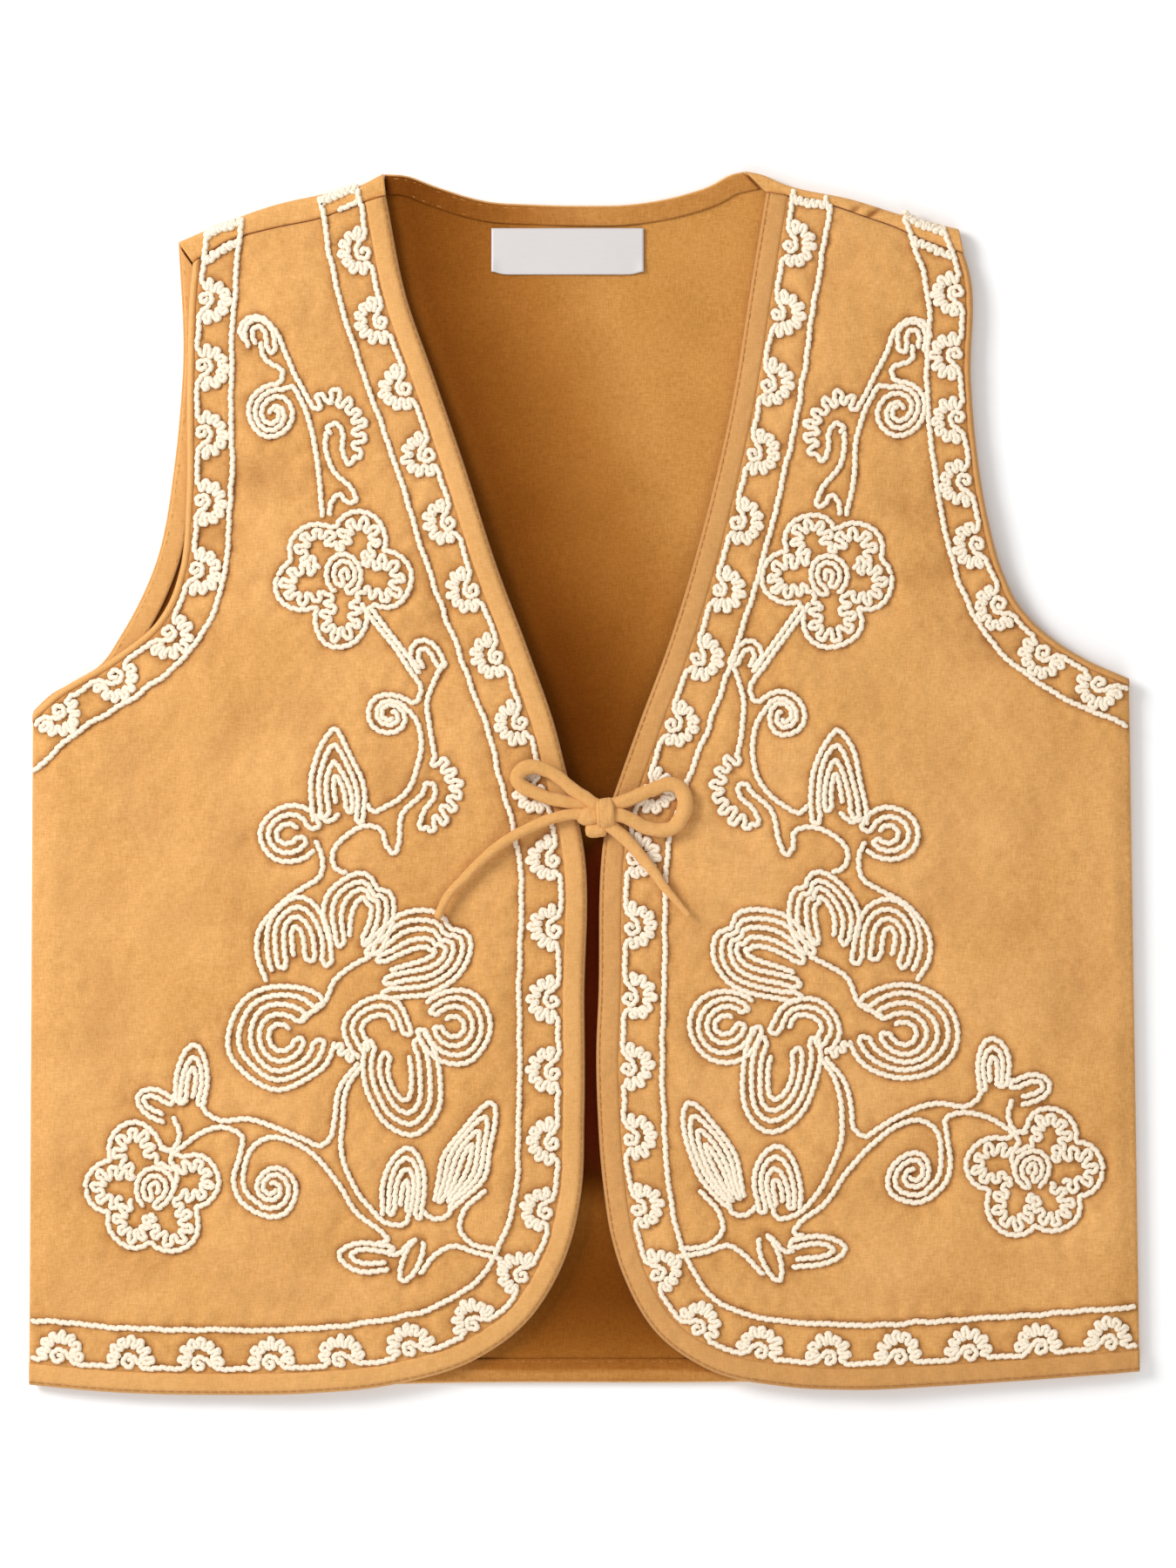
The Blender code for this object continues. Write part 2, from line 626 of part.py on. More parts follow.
def cord_rings(curve, front, closed=False):
    """Half-round sections of an embroidery cord that lies on a front's cloth."""
    if closed:
        tangent = np.roll(curve, -1, axis=0) - np.roll(curve, 1, axis=0)
    else:
        tangent = np.gradient(curve, axis=0)
    tangent = tangent / np.linalg.norm(tangent, axis=1)[:, None]
    half = CORD_WIDTH / 2
    section = ((-half, 0.1), (-half * 0.5, CORD_HEIGHT), (half * 0.5, CORD_HEIGHT), (half, 0.1))
    rings = []
    for (out, y), (along_out, along_y) in zip(curve, tangent):
        floor = front_floor(out, y) + CLOTH + SEAM_GAP
        ring = []
        for across, height in section:
            ring.append(front_point(front, out - along_y * across, y + along_out * across, floor + height))
        rings.append(ring)
    return rings


def border_cord(name, front, edge, distance, starts_at, ends_at, step):
    """One line of cord at a constant distance in from an edge."""
    line = offset(extend(edge), distance)
    begin = crossings(line, starts_at)[0][0] + BORDER_END_GAP
    finish = crossings(line, ends_at)[-1][0] - BORDER_END_GAP
    curve = resample(stretch(line, begin, finish), step)
    loft(name + front.name, cord_rings(curve, front), CREAM)


def flower_outline(flower):
    """The petals' outline, one closed line with a dip between neighbouring petals."""
    count = flower.petals * POINTS_PER_PETAL
    points = []
    for index in range(count):
        angle = 2.0 * math.pi * index / count
        swell = math.cos(flower.petals * angle / 2) ** 2
        lobe = math.sqrt((swell + NOTCH_SOFTNESS) / (1.0 + NOTCH_SOFTNESS))
        reach = flower.radius * (1.0 - PETAL_DEPTH + PETAL_DEPTH * lobe)
        heading = angle + flower.turn
        points.append((flower.out + reach * math.cos(heading), flower.y + reach * math.sin(heading)))
    return np.array(points)


def embroidery(front):
    """Raised cords of one front: its borders, its flowers' outlines and its stems."""
    seam, side = extend(front.seam), extend(front.side)
    border_cord("border_near_", front, front.edge, BORDER_NEAR, seam, side, EDGE_STEP)
    border_cord("border_far_", front, front.edge, BORDER_FAR, seam, side, EDGE_STEP)
    border_cord("armhole_border_", front, front.armhole, ARMHOLE_BORDER_FAR, side, seam, EDGE_STEP)
    for flower in FLOWERS[front.name]:
        rings = cord_rings(flower_outline(flower), front, True)
        loft(flower.name + "_" + front.name, rings, CREAM, closed=True)
    shift = FLOWERS[front.name][0].out - FLOWERS["left"][0].out
    for name, route in STEMS.items():
        curve = smooth(route, EDGE_STEP) + (shift, 0.0)
        loft(name + "_" + front.name, cord_rings(curve, front), CREAM)


def tie_height(x, y):
    """Height of a tie's centre, lying on the bands near the slit and on the embroidery beyond them."""
    on_band = BAND_THICKNESS + BAND_PUFF
    on_cords = CLOTH + SEAM_GAP + CORD_HEIGHT
    share = smoothstep((abs(x - SLIT_CENTRE) - TIE_CLIMB_STARTS) / TIE_CLIMB)
    resting = on_band + (on_cords - on_band) * share
    return front_floor(abs(x), y) + resting + SEAM_GAP + TIE_DIAMETER / 2


def tie_cord(name, points, diameter, spacing):
    """A round fabric tie along a smooth route, with filled ends."""
    curve = bpy.data.curves.new(name, "CURVE")
    curve.dimensions = "3D"
    curve.bevel_depth = diameter / 2 * MM
    curve.bevel_resolution = 2
    curve.use_fill_caps = True
    curve.render_resolution_u = 0
    route = smooth(points, spacing)
    spline = curve.splines.new("POLY")
    spline.points.add(len(route) - 1)
    for point, (x, y, z) in zip(spline.points, route):
        point.co = (x * MM, y * MM, z * MM, 1.0)
    make_object(name, curve, OCHRE_BAND)


def bow():
    """The knot, its two loops and two tails, and the root that crosses the slit."""
    for name, route in TIES.items():
        points = [(x, y, tie_height(x, y) + lift) for x, y, lift in route]
        tie_cord(name, points, TIE_DIAMETER, TIE_POINT_SPACING)
    tie_cord("tie_root", TIE_ROOT, TIE_ROOT_DIAMETER, 1.5)
    x, y = KNOT_CENTRE
    base = front_floor(abs(x), y) + BAND_THICKNESS + BAND_PUFF + SEAM_GAP - KNOT_SETTLES
    build = bmesh.new()
    bmesh.ops.create_uvsphere(build, u_segments=14, v_segments=8, radius=1.0)
    bmesh.ops.scale(build, vec=[half * MM for half in KNOT_HALF], verts=build.verts[:])
    bmesh.ops.translate(build, vec=(x * MM, y * MM, (base + KNOT_HALF[2]) * MM), verts=build.verts[:])
    mesh = bpy.data.meshes.new("tie_knot")
    build.to_mesh(mesh)
    build.free()
    mesh.shade_smooth()
    make_object("tie_knot", mesh, OCHRE_BAND)


def centre_on_origin():
    """Move every piece so that the whole lies centred over the origin."""
    bpy.context.view_layer.update()
    graph = bpy.context.evaluated_depsgraph_get()
    corners = []
    for piece in bpy.context.collection.objects:
        evaluated = piece.evaluated_get(graph)
        mesh = evaluated.to_mesh()
        corners.extend(tuple(vert.co) for vert in mesh.vertices)
        evaluated.to_mesh_clear()
    corners = np.array(corners)
    middle = (corners.min(axis=0) + corners.max(axis=0)) / 2
    for piece in bpy.context.collection.objects:
        piece.location = (-middle[0], -middle[1], 0.0)


def main():
    """Build the waistcoat piece by piece."""
    for piece in list(bpy.data.objects):
        bpy.data.objects.remove(piece)
    fronts = (
        Front("left", -1.0, smooth(LEFT_EDGE), smooth(LEFT_SIDE), smooth(LEFT_ARMHOLE),
              smooth(LEFT_SEAM[::-1])),
        Front("right", 1.0, smooth(RIGHT_EDGE), smooth(RIGHT_SIDE), smooth(RIGHT_ARMHOLE),
              smooth(RIGHT_SEAM[::-1])),
    )
    back_panel(fronts)
    for front in fronts:
        front_panel(front)
        front_bands(front)
        embroidery(front)
    back_facings()
    label()
    bow()
    centre_on_origin()


main()
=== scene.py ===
"""The looks of a small child's waistcoat of ochre cotton, laid flat and tied with a bow.

All sizes are in millimetres until a mesh is made. A front is drawn in its own plan, where "out" is the
distance from the centre line and y runs up the garment, and is then placed on its side. The embroidery is
drawn with the needle's own forms: curls, meanders, nested petals and leaves, and a lobed half ring that
repeats along the borders.
"""

import logging
import math
from dataclasses import dataclass, field, replace
from enum import Enum
from typing import Callable, Iterable, Sequence

import bpy
import numpy as np
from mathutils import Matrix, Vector
from mathutils.geometry import delaunay_2d_cdt
from mathutils.kdtree import KDTree


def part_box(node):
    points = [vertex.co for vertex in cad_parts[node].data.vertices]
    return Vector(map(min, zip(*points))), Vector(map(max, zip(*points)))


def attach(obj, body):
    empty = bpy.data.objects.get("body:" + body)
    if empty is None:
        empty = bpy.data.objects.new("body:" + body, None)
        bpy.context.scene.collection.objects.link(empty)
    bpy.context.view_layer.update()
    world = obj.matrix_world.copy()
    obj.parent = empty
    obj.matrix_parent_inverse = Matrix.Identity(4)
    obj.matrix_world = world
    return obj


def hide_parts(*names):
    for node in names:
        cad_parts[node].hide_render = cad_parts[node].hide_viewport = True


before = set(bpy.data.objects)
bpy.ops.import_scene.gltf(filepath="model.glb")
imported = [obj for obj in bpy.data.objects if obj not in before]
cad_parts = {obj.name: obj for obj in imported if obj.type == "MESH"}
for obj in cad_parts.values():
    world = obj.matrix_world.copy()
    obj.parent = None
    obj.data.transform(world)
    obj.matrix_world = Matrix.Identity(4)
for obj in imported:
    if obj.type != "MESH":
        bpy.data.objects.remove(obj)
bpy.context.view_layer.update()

log = logging.getLogger("waistcoat")
Points = np.ndarray

MM = 0.001

# Walls and edges, as the solids have them
CLOTH = 2.0
SEAM_GAP = 0.3
RIM = 0.8
CORNER_STEP = 0.25
BAND_WIDTH = 7.2
ARMHOLE_BAND_WIDTH = 2.4
BAND_THICKNESS = 2.3
EDGE_ROW = 1.0
FACING_THICKNESS = 0.6
FACING_INSET = 0.6
LABEL_THICKNESS = 0.4

# Room between back and fronts
SIDE_GAP = 0.3
LYING_GAP = 1.2
SIDE_RISE = 8.0
LOFT = 2.5
LOFT_RUN = 110.0
SHOULDER_FLAT = 158.0
CHEST_FULL = 60.0
HEM_LEVEL = -190.0
HEM_LOFT_SHARE = 0.55
SKIRT_FULL = -100.0
HALF_WIDTH = 171.5
SIDE_CALM = 10.0

# Shoulder folds
FOLD_INNER = LYING_GAP / 2
FOLD_OUTER = FOLD_INNER + CLOTH
FOLD_TOP = 2 * FOLD_OUTER

# Borders
BORDER_NEAR = 8.2
BORDER_FAR = 20.3
ARMHOLE_NEAR = 3.4
ARMHOLE_FAR = 13.8

# How far curves are run on past their ends, so that they cross their neighbours
LEAD = 14.0
LONG_LEAD = 26.0

# Half the gap at the forward seam, and how far from it the cloth's unevenness fades
SEAM_HALF_GAP = 0.15
SEAM_FADE = 12.0

LEFT_EDGE = (
    (61.6, 182.1), (55.4, 151.3), (46.7, 126.2), (37.3, 98.7), (27.3, 67.6), (17.0, 40.1),
    (9.2, 17.7), (5.4, 2.8), (2.4, -8.5), (0.5, -18.0), (0.0, -67.6), (0.0, -102.5),
    (1.1, -128.1), (3.8, -141.1), (8.1, -152.4), (19.2, -168.6), (33.8, -178.9), (59.7, -186.7),
    (86.4, -189.4), (109.6, -189.9), (146.6, -189.1), (169.0, -187.2),
)
RIGHT_EDGE = (
    (56.4, 183.2), (52.4, 159.2), (45.4, 116.0), (37.5, 81.7), (25.1, 40.1), (17.8, 20.7),
    (9.5, -2.6), (7.0, -9.9), (5.9, -17.4), (4.3, -67.6), (3.7, -81.4), (4.1, -102.5),
    (5.7, -123.8), (8.4, -141.1), (11.9, -152.4), (23.0, -171.3), (39.4, -182.4), (61.8, -187.2),
    (83.4, -188.3), (104.8, -187.5), (130.7, -185.9), (171.2, -182.9),
)
LEFT_ARMHOLE = (
    (171.2, 21.7), (165.8, 26.6), (146.6, 38.5), (132.8, 49.8), (128.5, 56.8), (125.3, 67.1),
    (123.6, 86.0), (123.2, 124.6), (122.3, 153.5), (121.5, 161.3),
)
RIGHT_ARMHOLE = (
    (169.0, 32.3), (154.7, 38.7), (139.3, 49.8), (134.2, 56.0), (129.1, 67.1), (125.6, 79.8),
    (121.2, 107.3), (119.9, 124.6), (118.8, 160.8), (117.7, 164.0),
)
LEFT_SIDE = ((172.3, -186.0), (171.2, 22.3))
RIGHT_SIDE = ((172.3, -182.0), (169.0, 32.3))
LEFT_SEAM = ((61.6, 182.1), (71.8, 178.9), (82.1, 175.1), (95.0, 172.4), (110.2, 168.1), (121.5, 161.3))
RIGHT_SEAM = ((56.4, 183.2), (76.4, 179.3), (87.8, 175.4), (96.4, 172.4), (104.5, 168.6), (117.7, 164.0))
LEFT_FOLD = ((62.4, 189.1), (71.0, 184.9), (81.3, 182.7), (95.0, 179.7), (115.3, 172.4), (126.1, 167.8))
RIGHT_FOLD = ((49.7, 189.9), (54.8, 188.9), (61.8, 185.9), (83.4, 181.0), (98.8, 176.2), (116.1, 171.9))
BACK_NECK = (
    (49.7, 189.9), (45.4, 188.9), (39.4, 185.6), (30.8, 182.7), (13.5, 179.6), (0.5, 179.3),
    (-16.7, 179.7), (-29.4, 180.5), (-46.7, 185.4), (-55.4, 188.6), (-62.4, 189.1),
)
BACK_LEFT_ARMHOLE = (
    (-126.1, 167.8), (-124.7, 130.5), (-125.6, 116.0), (-127.4, 98.7), (-133.4, 67.6), (-144.2, 45.5),
    (-150.1, 36.9), (-156.3, 32.5), (-165.8, 27.4), (-171.2, 22.3),
)
BACK_HEM = (
    (-172.3, -183.5), (-110.0, -187.4), (-34.0, -186.4), (48.0, -186.2), (105.0, -185.0), (172.3, -180.5),
)
LABEL_BOX = (-28.9, 157.8, 18.4, 172.2)

# The bow, whose routes keep to those of the solids. Columns: x, y, lift
KNOT_CENTRE = (6.2, -9.3)
TIE_DIAMETER = 3.2
TIES = {
    "tie_loop_left": (
        (5.6, -7.6, 0.8), (2.9, -6.4, 1.4), (0.9, -5.1, 1.3), (-3.1, -2.4, 0.8), (-6.9, 0.7, 0.2),
        (-10.9, 3.5, 0.0), (-15.2, 4.8, 0.0), (-19.3, 4.0, 0.0), (-20.8, 1.2, 0.0), (-18.7, -1.4, 0.0),
        (-15.2, -3.1, 0.0), (-12.1, -4.4, 0.0), (-7.6, -5.5, 0.0), (-3.1, -6.5, 0.0), (1.4, -7.0, 0.0),
        (4.6, -7.8, 0.3),
    ),
    "tie_tail_left": (
        (4.6, -10.0, 1.2), (2.3, -10.0, 1.3), (-0.9, -9.8, 1.1), (-5.8, -10.0, 0.4), (-11.4, -11.6, 0.0),
        (-18.1, -14.5, 0.0), (-24.4, -18.0, 0.0), (-30.0, -22.4, 0.0), (-36.5, -28.8, 0.0),
        (-42.7, -35.8, 0.0), (-45.6, -42.0, 0.0),
    ),
    "tie_loop_right": (
        (6.6, -7.4, 0.8), (9.0, -6.8, 0.6), (12.6, -5.6, 0.2), (16.6, -4.0, 0.0), (22.0, -1.7, 0.0),
        (26.3, -0.5, 0.0), (29.6, -1.7, 0.0), (31.0, -4.8, 0.0), (31.0, -7.8, 0.0), (30.0, -10.8, 0.0),
        (27.4, -13.8, 0.0), (23.8, -14.7, 0.0), (18.8, -13.8, 0.1), (14.8, -11.6, 0.6), (10.3, -9.9, 1.2),
        (7.8, -9.4, 1.2),
    ),
    "tie_tail_right": (
        (7.0, -12.4, 1.0), (9.0, -14.2, 0.7), (12.1, -16.7, 0.1), (15.5, -20.4, 0.0), (20.6, -26.5, 0.0),
        (25.5, -33.2, 0.0), (30.0, -38.4, 0.0), (32.6, -41.4, 0.0),
    ),
}


class Slot(Enum):
    """The record's material slots."""

    SHELL = "shell"
    LINING = "lining"
    BINDING = "binding"
    FACING = "facing"
    LABEL = "label"
    EMBROIDERY = "embroidery"


def smoothstep(value: np.ndarray) -> np.ndarray:
    """Ease from 0 to 1."""
    clipped = np.clip(value, 0.0, 1.0)
    return clipped * clipped * (3.0 - 2.0 * clipped)


def resample(curve: Points, step: float) -> Points:
    """Space points evenly along a polyline, its two ends kept.

    Args:
        curve: The polyline, a row for each point.
        step: The wanted distance between points.

    Returns:
        The new polyline.
    """
    curve = np.asarray(curve, float)
    lengths = np.concatenate(([0.0], np.cumsum(np.linalg.norm(np.diff(curve, axis=0), axis=1))))
    count = max(2, round(lengths[-1] / step) + 1)
    places = np.linspace(0.0, lengths[-1], count)
    return np.stack([np.interp(places, lengths, curve[:, axis]) for axis in range(curve.shape[1])], axis=1)


def smooth(points: Sequence, step: float = 1.0) -> Points:
    """Run a smooth curve through a table's points.

    Args:
        points: The table's rows.
        step: The distance between the curve's points.

    Returns:
        The curve, sampled evenly.
    """
    points = np.asarray(points, float)
    if len(points) < 3:
        return resample(points, step)
    spans = np.maximum(np.linalg.norm(np.diff(points, axis=0), axis=1), 1e-6)[:, None]
    slopes = np.diff(points, axis=0) / spans
    inner = (slopes[:-1] * spans[1:] + slopes[1:] * spans[:-1]) / (spans[:-1] + spans[1:])
    tangents = np.vstack((slopes[:1], inner, slopes[-1:]))
    share = np.linspace(0.0, 1.0, 16, endpoint=False)[None, :, None]
    rise = share * share * (3.0 - 2.0 * share)
    lead = share * (1.0 - share) ** 2 * spans[:, None]
    trail = share * share * (share - 1.0) * spans[:, None]
    dense = points[:-1, None] * (1.0 - rise) + points[1:, None] * rise
    dense = dense + tangents[:-1, None] * lead + tangents[1:, None] * trail
    return resample(np.vstack((dense.reshape(-1, points.shape[1]), points[-1:])), step)


def extend(curve: Points, length: float = LEAD) -> Points:
    """Add straight leads past both ends, so that a curve crosses its neighbours.

    Args:
        curve: The curve.
        length: How long each lead is.

    Returns:
        The longer curve.
    """
    head = (curve[0] - curve[2]) / np.linalg.norm(curve[0] - curve[2])
    tail = (curve[-1] - curve[-3]) / np.linalg.norm(curve[-1] - curve[-3])
    steps = np.arange(1.0, length, 1.0)[:, None]
    return np.vstack((curve[0] + head * steps[::-1], curve, curve[-1] + tail * steps))


def normals(curve: Points) -> Points:
    """Unit normals to the left of a curve's travel.

    Args:
        curve: The curve.

    Returns:
        A normal for each of its points.
    """
    tangent = np.gradient(curve, axis=0)
    tangent = tangent / np.maximum(np.linalg.norm(tangent, axis=1), 1e-9)[:, None]
    return np.stack((-tangent[:, 1], tangent[:, 0]), axis=1)


def offset(curve: Points, distance: float) -> Points:
    """Move a curve to the left of its travel, which is into the cloth."""
    return curve + distance * normals(curve)


def beside(curve: Points, distance: float, lead: float = LEAD) -> Points:
    """The line at a distance to the left of a curve, run on past both ends."""
    return offset(extend(curve, lead), distance)


def crossings(first: Points, second: Points) -> list[tuple[float, float]]:
    """Find where two polylines cross.

    Args:
        first: One polyline.
        second: The other.

    Returns:
        A fractional index on each for every crossing, sorted along the first.
    """
    found = []
    start, run = first[:-1], np.diff(first, axis=0)
    for index in range(len(second) - 1):
        other, other_run = second[index], second[index + 1] - second[index]
        turn = run[:, 0] * other_run[1] - run[:, 1] * other_run[0]
        turn = np.where(abs(turn) < 1e-12, 1e-12, turn)
        away = other - start
        along = (away[:, 0] * other_run[1] - away[:, 1] * other_run[0]) / turn
        across = (away[:, 0] * run[:, 1] - away[:, 1] * run[:, 0]) / turn
        for hit in np.nonzero((along >= 0) & (along <= 1) & (across >= 0) & (across <= 1))[0]:
            found.append((hit + along[hit], index + across[hit]))
    return sorted(found)


def at(curve: Points, index: float) -> np.ndarray:
    """The point at a fractional index of a polyline.

    Args:
        curve: The polyline.
        index: The fractional index.

    Returns:
        The point.
    """
    low = int(min(max(index, 0), len(curve) - 2))
    share = index - low
    return curve[low] * (1.0 - share) + curve[low + 1] * share


def stretch(curve: Points, start: float, end: float) -> Points:
    """The part of a polyline between two fractional indices."""
    inner = curve[math.ceil(start + 0.05):math.floor(end - 0.05) + 1]
    return np.vstack((at(curve, start), inner, at(curve, end)))


def between(line: Points, starts: Points, ends: Points, trim: float = 0.0) -> Points:
    """The part of a line from its first crossing with one line to its last with another.

    Args:
        line: The line.
        starts: The line that it starts at.
        ends: The line that it ends at.
        trim: How many of the line's points are left out at each end.

    Returns:
        The part between them.
    """
    return stretch(line, crossings(line, starts)[0][0] + trim, crossings(line, ends)[-1][0] - trim)


def enclose(edges: Sequence[Points], step: float) -> Points:
    """Trim a ring of crossing edges to the closed outline that they bound.

    Args:
        edges: The edges in order, each crossing the next.
        step: The distance between the outline's points.

    Returns:
        The outline, without its first point repeated.
    """
    ends = [crossings(edge, edges[(index + 1) % len(edges)])[-1] for index, edge in enumerate(edges)]
    outline = []
    for index, edge in enumerate(edges):
        outline.extend(resample(stretch(edge, ends[index - 1][1], ends[index][0]), step)[:-1])
    return np.array(outline)


def inside(points: Points, outline: Points) -> np.ndarray:
    """Tell which points lie within a closed outline.

    Args:
        points: The points.
        outline: The outline.

    Returns:
        True for each point inside.
    """
    held = np.zeros(len(points), bool)
    ends = np.roll(outline, -1, axis=0)
    for (ax, ay), (bx, by) in zip(outline, ends):
        if ay == by:
            continue
        spans = (ay > points[:, 1]) != (by > points[:, 1])
        reach = ax + (points[:, 1] - ay) / (by - ay) * (bx - ax)
        held ^= spans & (points[:, 0] < reach)
    return held


def nearest(points: Points, targets: Points) -> np.ndarray:
    """Measure from each point to the closest of a set of targets.

    Args:
        points: The points.
        targets: The targets.

    Returns:
        A distance for each point.
    """
    tree = KDTree(len(targets))
    for index, target in enumerate(targets):
        tree.insert((*target[:2], 0.0), index)
    tree.balance()
    return np.array([tree.find((point[0], point[1], 0.0))[2] for point in points])


def inset_ring(outline: Points, distance: float) -> Points:
    """Move an anticlockwise outline inwards at each of its points.

    Args:
        outline: The outline.
        distance: How far it moves.

    Returns:
        The smaller outline.
    """
    ahead = np.roll(outline, -1, axis=0) - outline
    behind = outline - np.roll(outline, 1, axis=0)
    ahead = ahead / np.linalg.norm(ahead, axis=1)[:, None]
    behind = behind / np.linalg.norm(behind, axis=1)[:, None]
    both = ahead + behind
    normal = np.stack((-both[:, 1], both[:, 0]), axis=1)
    normal = normal / np.linalg.norm(normal, axis=1)[:, None]
    spread = np.maximum(normal[:, 0] * -ahead[:, 1] + normal[:, 1] * ahead[:, 0], 0.6)
    return outline + normal * (distance / spread)[:, None]


def fill(ring: Points, grid: float, extra: Points | None = None) -> tuple[Points, list]:
    """Fill a closed ring with triangles over a staggered grid.

    Args:
        ring: The ring's points, anticlockwise.
        grid: The distance between grid points.
        extra: More points to use, which push the grid's own aside.

    Returns:
        The points, the ring's first, and the triangles.
    """
    low, high = ring.min(axis=0), ring.max(axis=0)
    rows = []
    for row, y in enumerate(np.arange(low[1] + grid / 2, high[1], grid * 0.87)):
        xs = np.arange(low[0] + grid / 2 + (row % 2) * grid / 2, high[0], grid)
        rows.append(np.stack((xs, np.full(len(xs), y)), axis=1))
    loose = np.vstack(rows)
    if extra is not None:
        loose = np.vstack((loose[nearest(loose, extra) > grid * 0.55], extra))
    loose = loose[inside(loose, ring)]
    loose = loose[nearest(loose, ring) > grid * 0.6]
    points = [Vector(point) for point in np.vstack((ring, loose))]
    filled = delaunay_2d_cdt(points, [], [list(range(len(ring)))], 1, 1e-6)
    return np.array([tuple(point) for point in filled[0]]), [tuple(face) for face in filled[2]]


@dataclass(frozen=True)
class Ripple:
    """A soft unevenness made of plane waves of about one length.

    Attributes:
        seed: Seeds the waves' directions.
        wavelength: The waves' mean length.
        depth: How far the sum reaches, about.
        waves: How many waves are summed.
    """

    seed: int
    wavelength: float
    depth: float
    waves: int = 22

    def __call__(self, x: np.ndarray, y: np.ndarray) -> np.ndarray:
        """Sum the waves.

        Args:
            x: Where each point lies across.
            y: Where it lies up.

        Returns:
            The unevenness at each point.
        """
        rng = np.random.default_rng(self.seed)
        total = np.zeros(np.shape(x))
        for _ in range(self.waves):
            heading = rng.uniform(0.0, 2.0 * math.pi)
            pace = 2.0 * math.pi / (self.wavelength * rng.uniform(0.7, 1.5))
            phase = rng.uniform(0.0, 2.0 * math.pi)
            total += np.cos(pace * (math.cos(heading) * x + math.sin(heading) * y) + phase)
        return self.depth * total / math.sqrt(self.waves)


@dataclass(frozen=True)
class Fold:
    """One soft trough, or ridge where its depth is negative.

    Attributes:
        out: Its middle's distance out.
        y: Its middle's height.
        length: Its length.
        width: Its width.
        depth: Its depth.
        heading: The way that it runs, in degrees.
        bow: How much it bends.
    """

    out: float
    y: float
    length: float
    width: float
    depth: float
    heading: float
    bow: float = 0.06

    def sink(self, out: np.ndarray, y: np.ndarray) -> np.ndarray:
        """Work out how far the cloth sinks.

        Args:
            out: Each point's distance out.
            y: Its height.

        Returns:
            The depth at each point.
        """
        turn = math.radians(self.heading)
        along = (out - self.out) * math.cos(turn) + (y - self.y) * math.sin(turn)
        across = -(out - self.out) * math.sin(turn) + (y - self.y) * math.cos(turn)
        bend = across + self.bow * along * along / self.length
        return self.depth * np.exp(-(along / self.length * 2.0) ** 2 - (bend / self.width * 2.0) ** 2)


def rise_of_front(out: np.ndarray, y: np.ndarray) -> np.ndarray:
    """Work out how far a front's underside lies above the back.

    Args:
        out: Each point's distance out.
        y: Its height on the garment.

    Returns:
        The room between the two at each point.
    """
    side = HALF_WIDTH - out
    shoulder_share = smoothstep((SHOULDER_FLAT - y) / (SHOULDER_FLAT - CHEST_FULL))
    hem_share = 1.0 - (1.0 - HEM_LOFT_SHARE) * smoothstep((SKIRT_FULL - y) / (SKIRT_FULL - HEM_LEVEL))
    lying = SIDE_GAP + (LYING_GAP - SIDE_GAP) * smoothstep(side / SIDE_RISE)
    return lying + LOFT * smoothstep(side / LOFT_RUN) * shoulder_share * hem_share


def front_floor(out: np.ndarray, y: np.ndarray) -> np.ndarray:
    """Height of a front's underside."""
    return CLOTH + rise_of_front(out, y)


LEFT_FOLDS = (
    Fold(104.0, 96.0, 30.0, 9.0, 0.9, 8.0), Fold(111.0, 76.0, 34.0, 10.0, 1.0, 14.0),
    Fold(113.0, 62.0, 30.0, 8.0, 0.8, 24.0), Fold(120.0, 45.0, 36.0, 12.0, 0.7, 30.0),
    Fold(140.0, 5.0, 46.0, 16.0, 0.6, 62.0), Fold(105.0, -20.0, 52.0, 14.0, 0.5, 74.0),
    Fold(150.0, -60.0, 60.0, 18.0, 0.5, 84.0), Fold(95.0, -160.0, 40.0, 9.0, 0.5, 6.0),
    Fold(48.0, 60.0, 30.0, 8.0, 0.5, 66.0), Fold(70.0, 158.0, 26.0, 8.0, 0.5, 22.0),
    Fold(36.0, -60.0, 34.0, 7.0, 0.5, 82.0), Fold(50.0, -30.0, 24.0, 7.0, 0.4, 40.0),
)
RIGHT_FOLDS = (
    Fold(106.0, 84.0, 30.0, 9.0, 0.8, -12.0), Fold(112.0, 66.0, 32.0, 9.0, 0.7, 12.0),
    Fold(126.0, 40.0, 40.0, 12.0, 0.6, 34.0), Fold(144.0, -6.0, 52.0, 15.0, 0.5, 70.0),
    Fold(112.0, -30.0, 46.0, 14.0, 0.5, 80.0), Fold(150.0, -66.0, 58.0, 18.0, 0.5, 96.0),
    Fold(52.0, 52.0, 28.0, 8.0, 0.5, 70.0), Fold(42.0, -24.0, 26.0, 8.0, 0.5, 14.0),
    Fold(100.0, -158.0, 44.0, 9.0, 0.5, -5.0), Fold(78.0, 160.0, 26.0, 8.0, 0.5, 30.0),
    Fold(38.0, -90.0, 30.0, 7.0, 0.4, 98.0),
)

# The creases on the right shoulder's folded strip
STRIP_CREASES = (Fold(83.8, 177.6, 5.6, 1.5, 0.75, 38.0), Fold(89.4, 176.5, 7.6, 1.7, 0.95, 37.0))


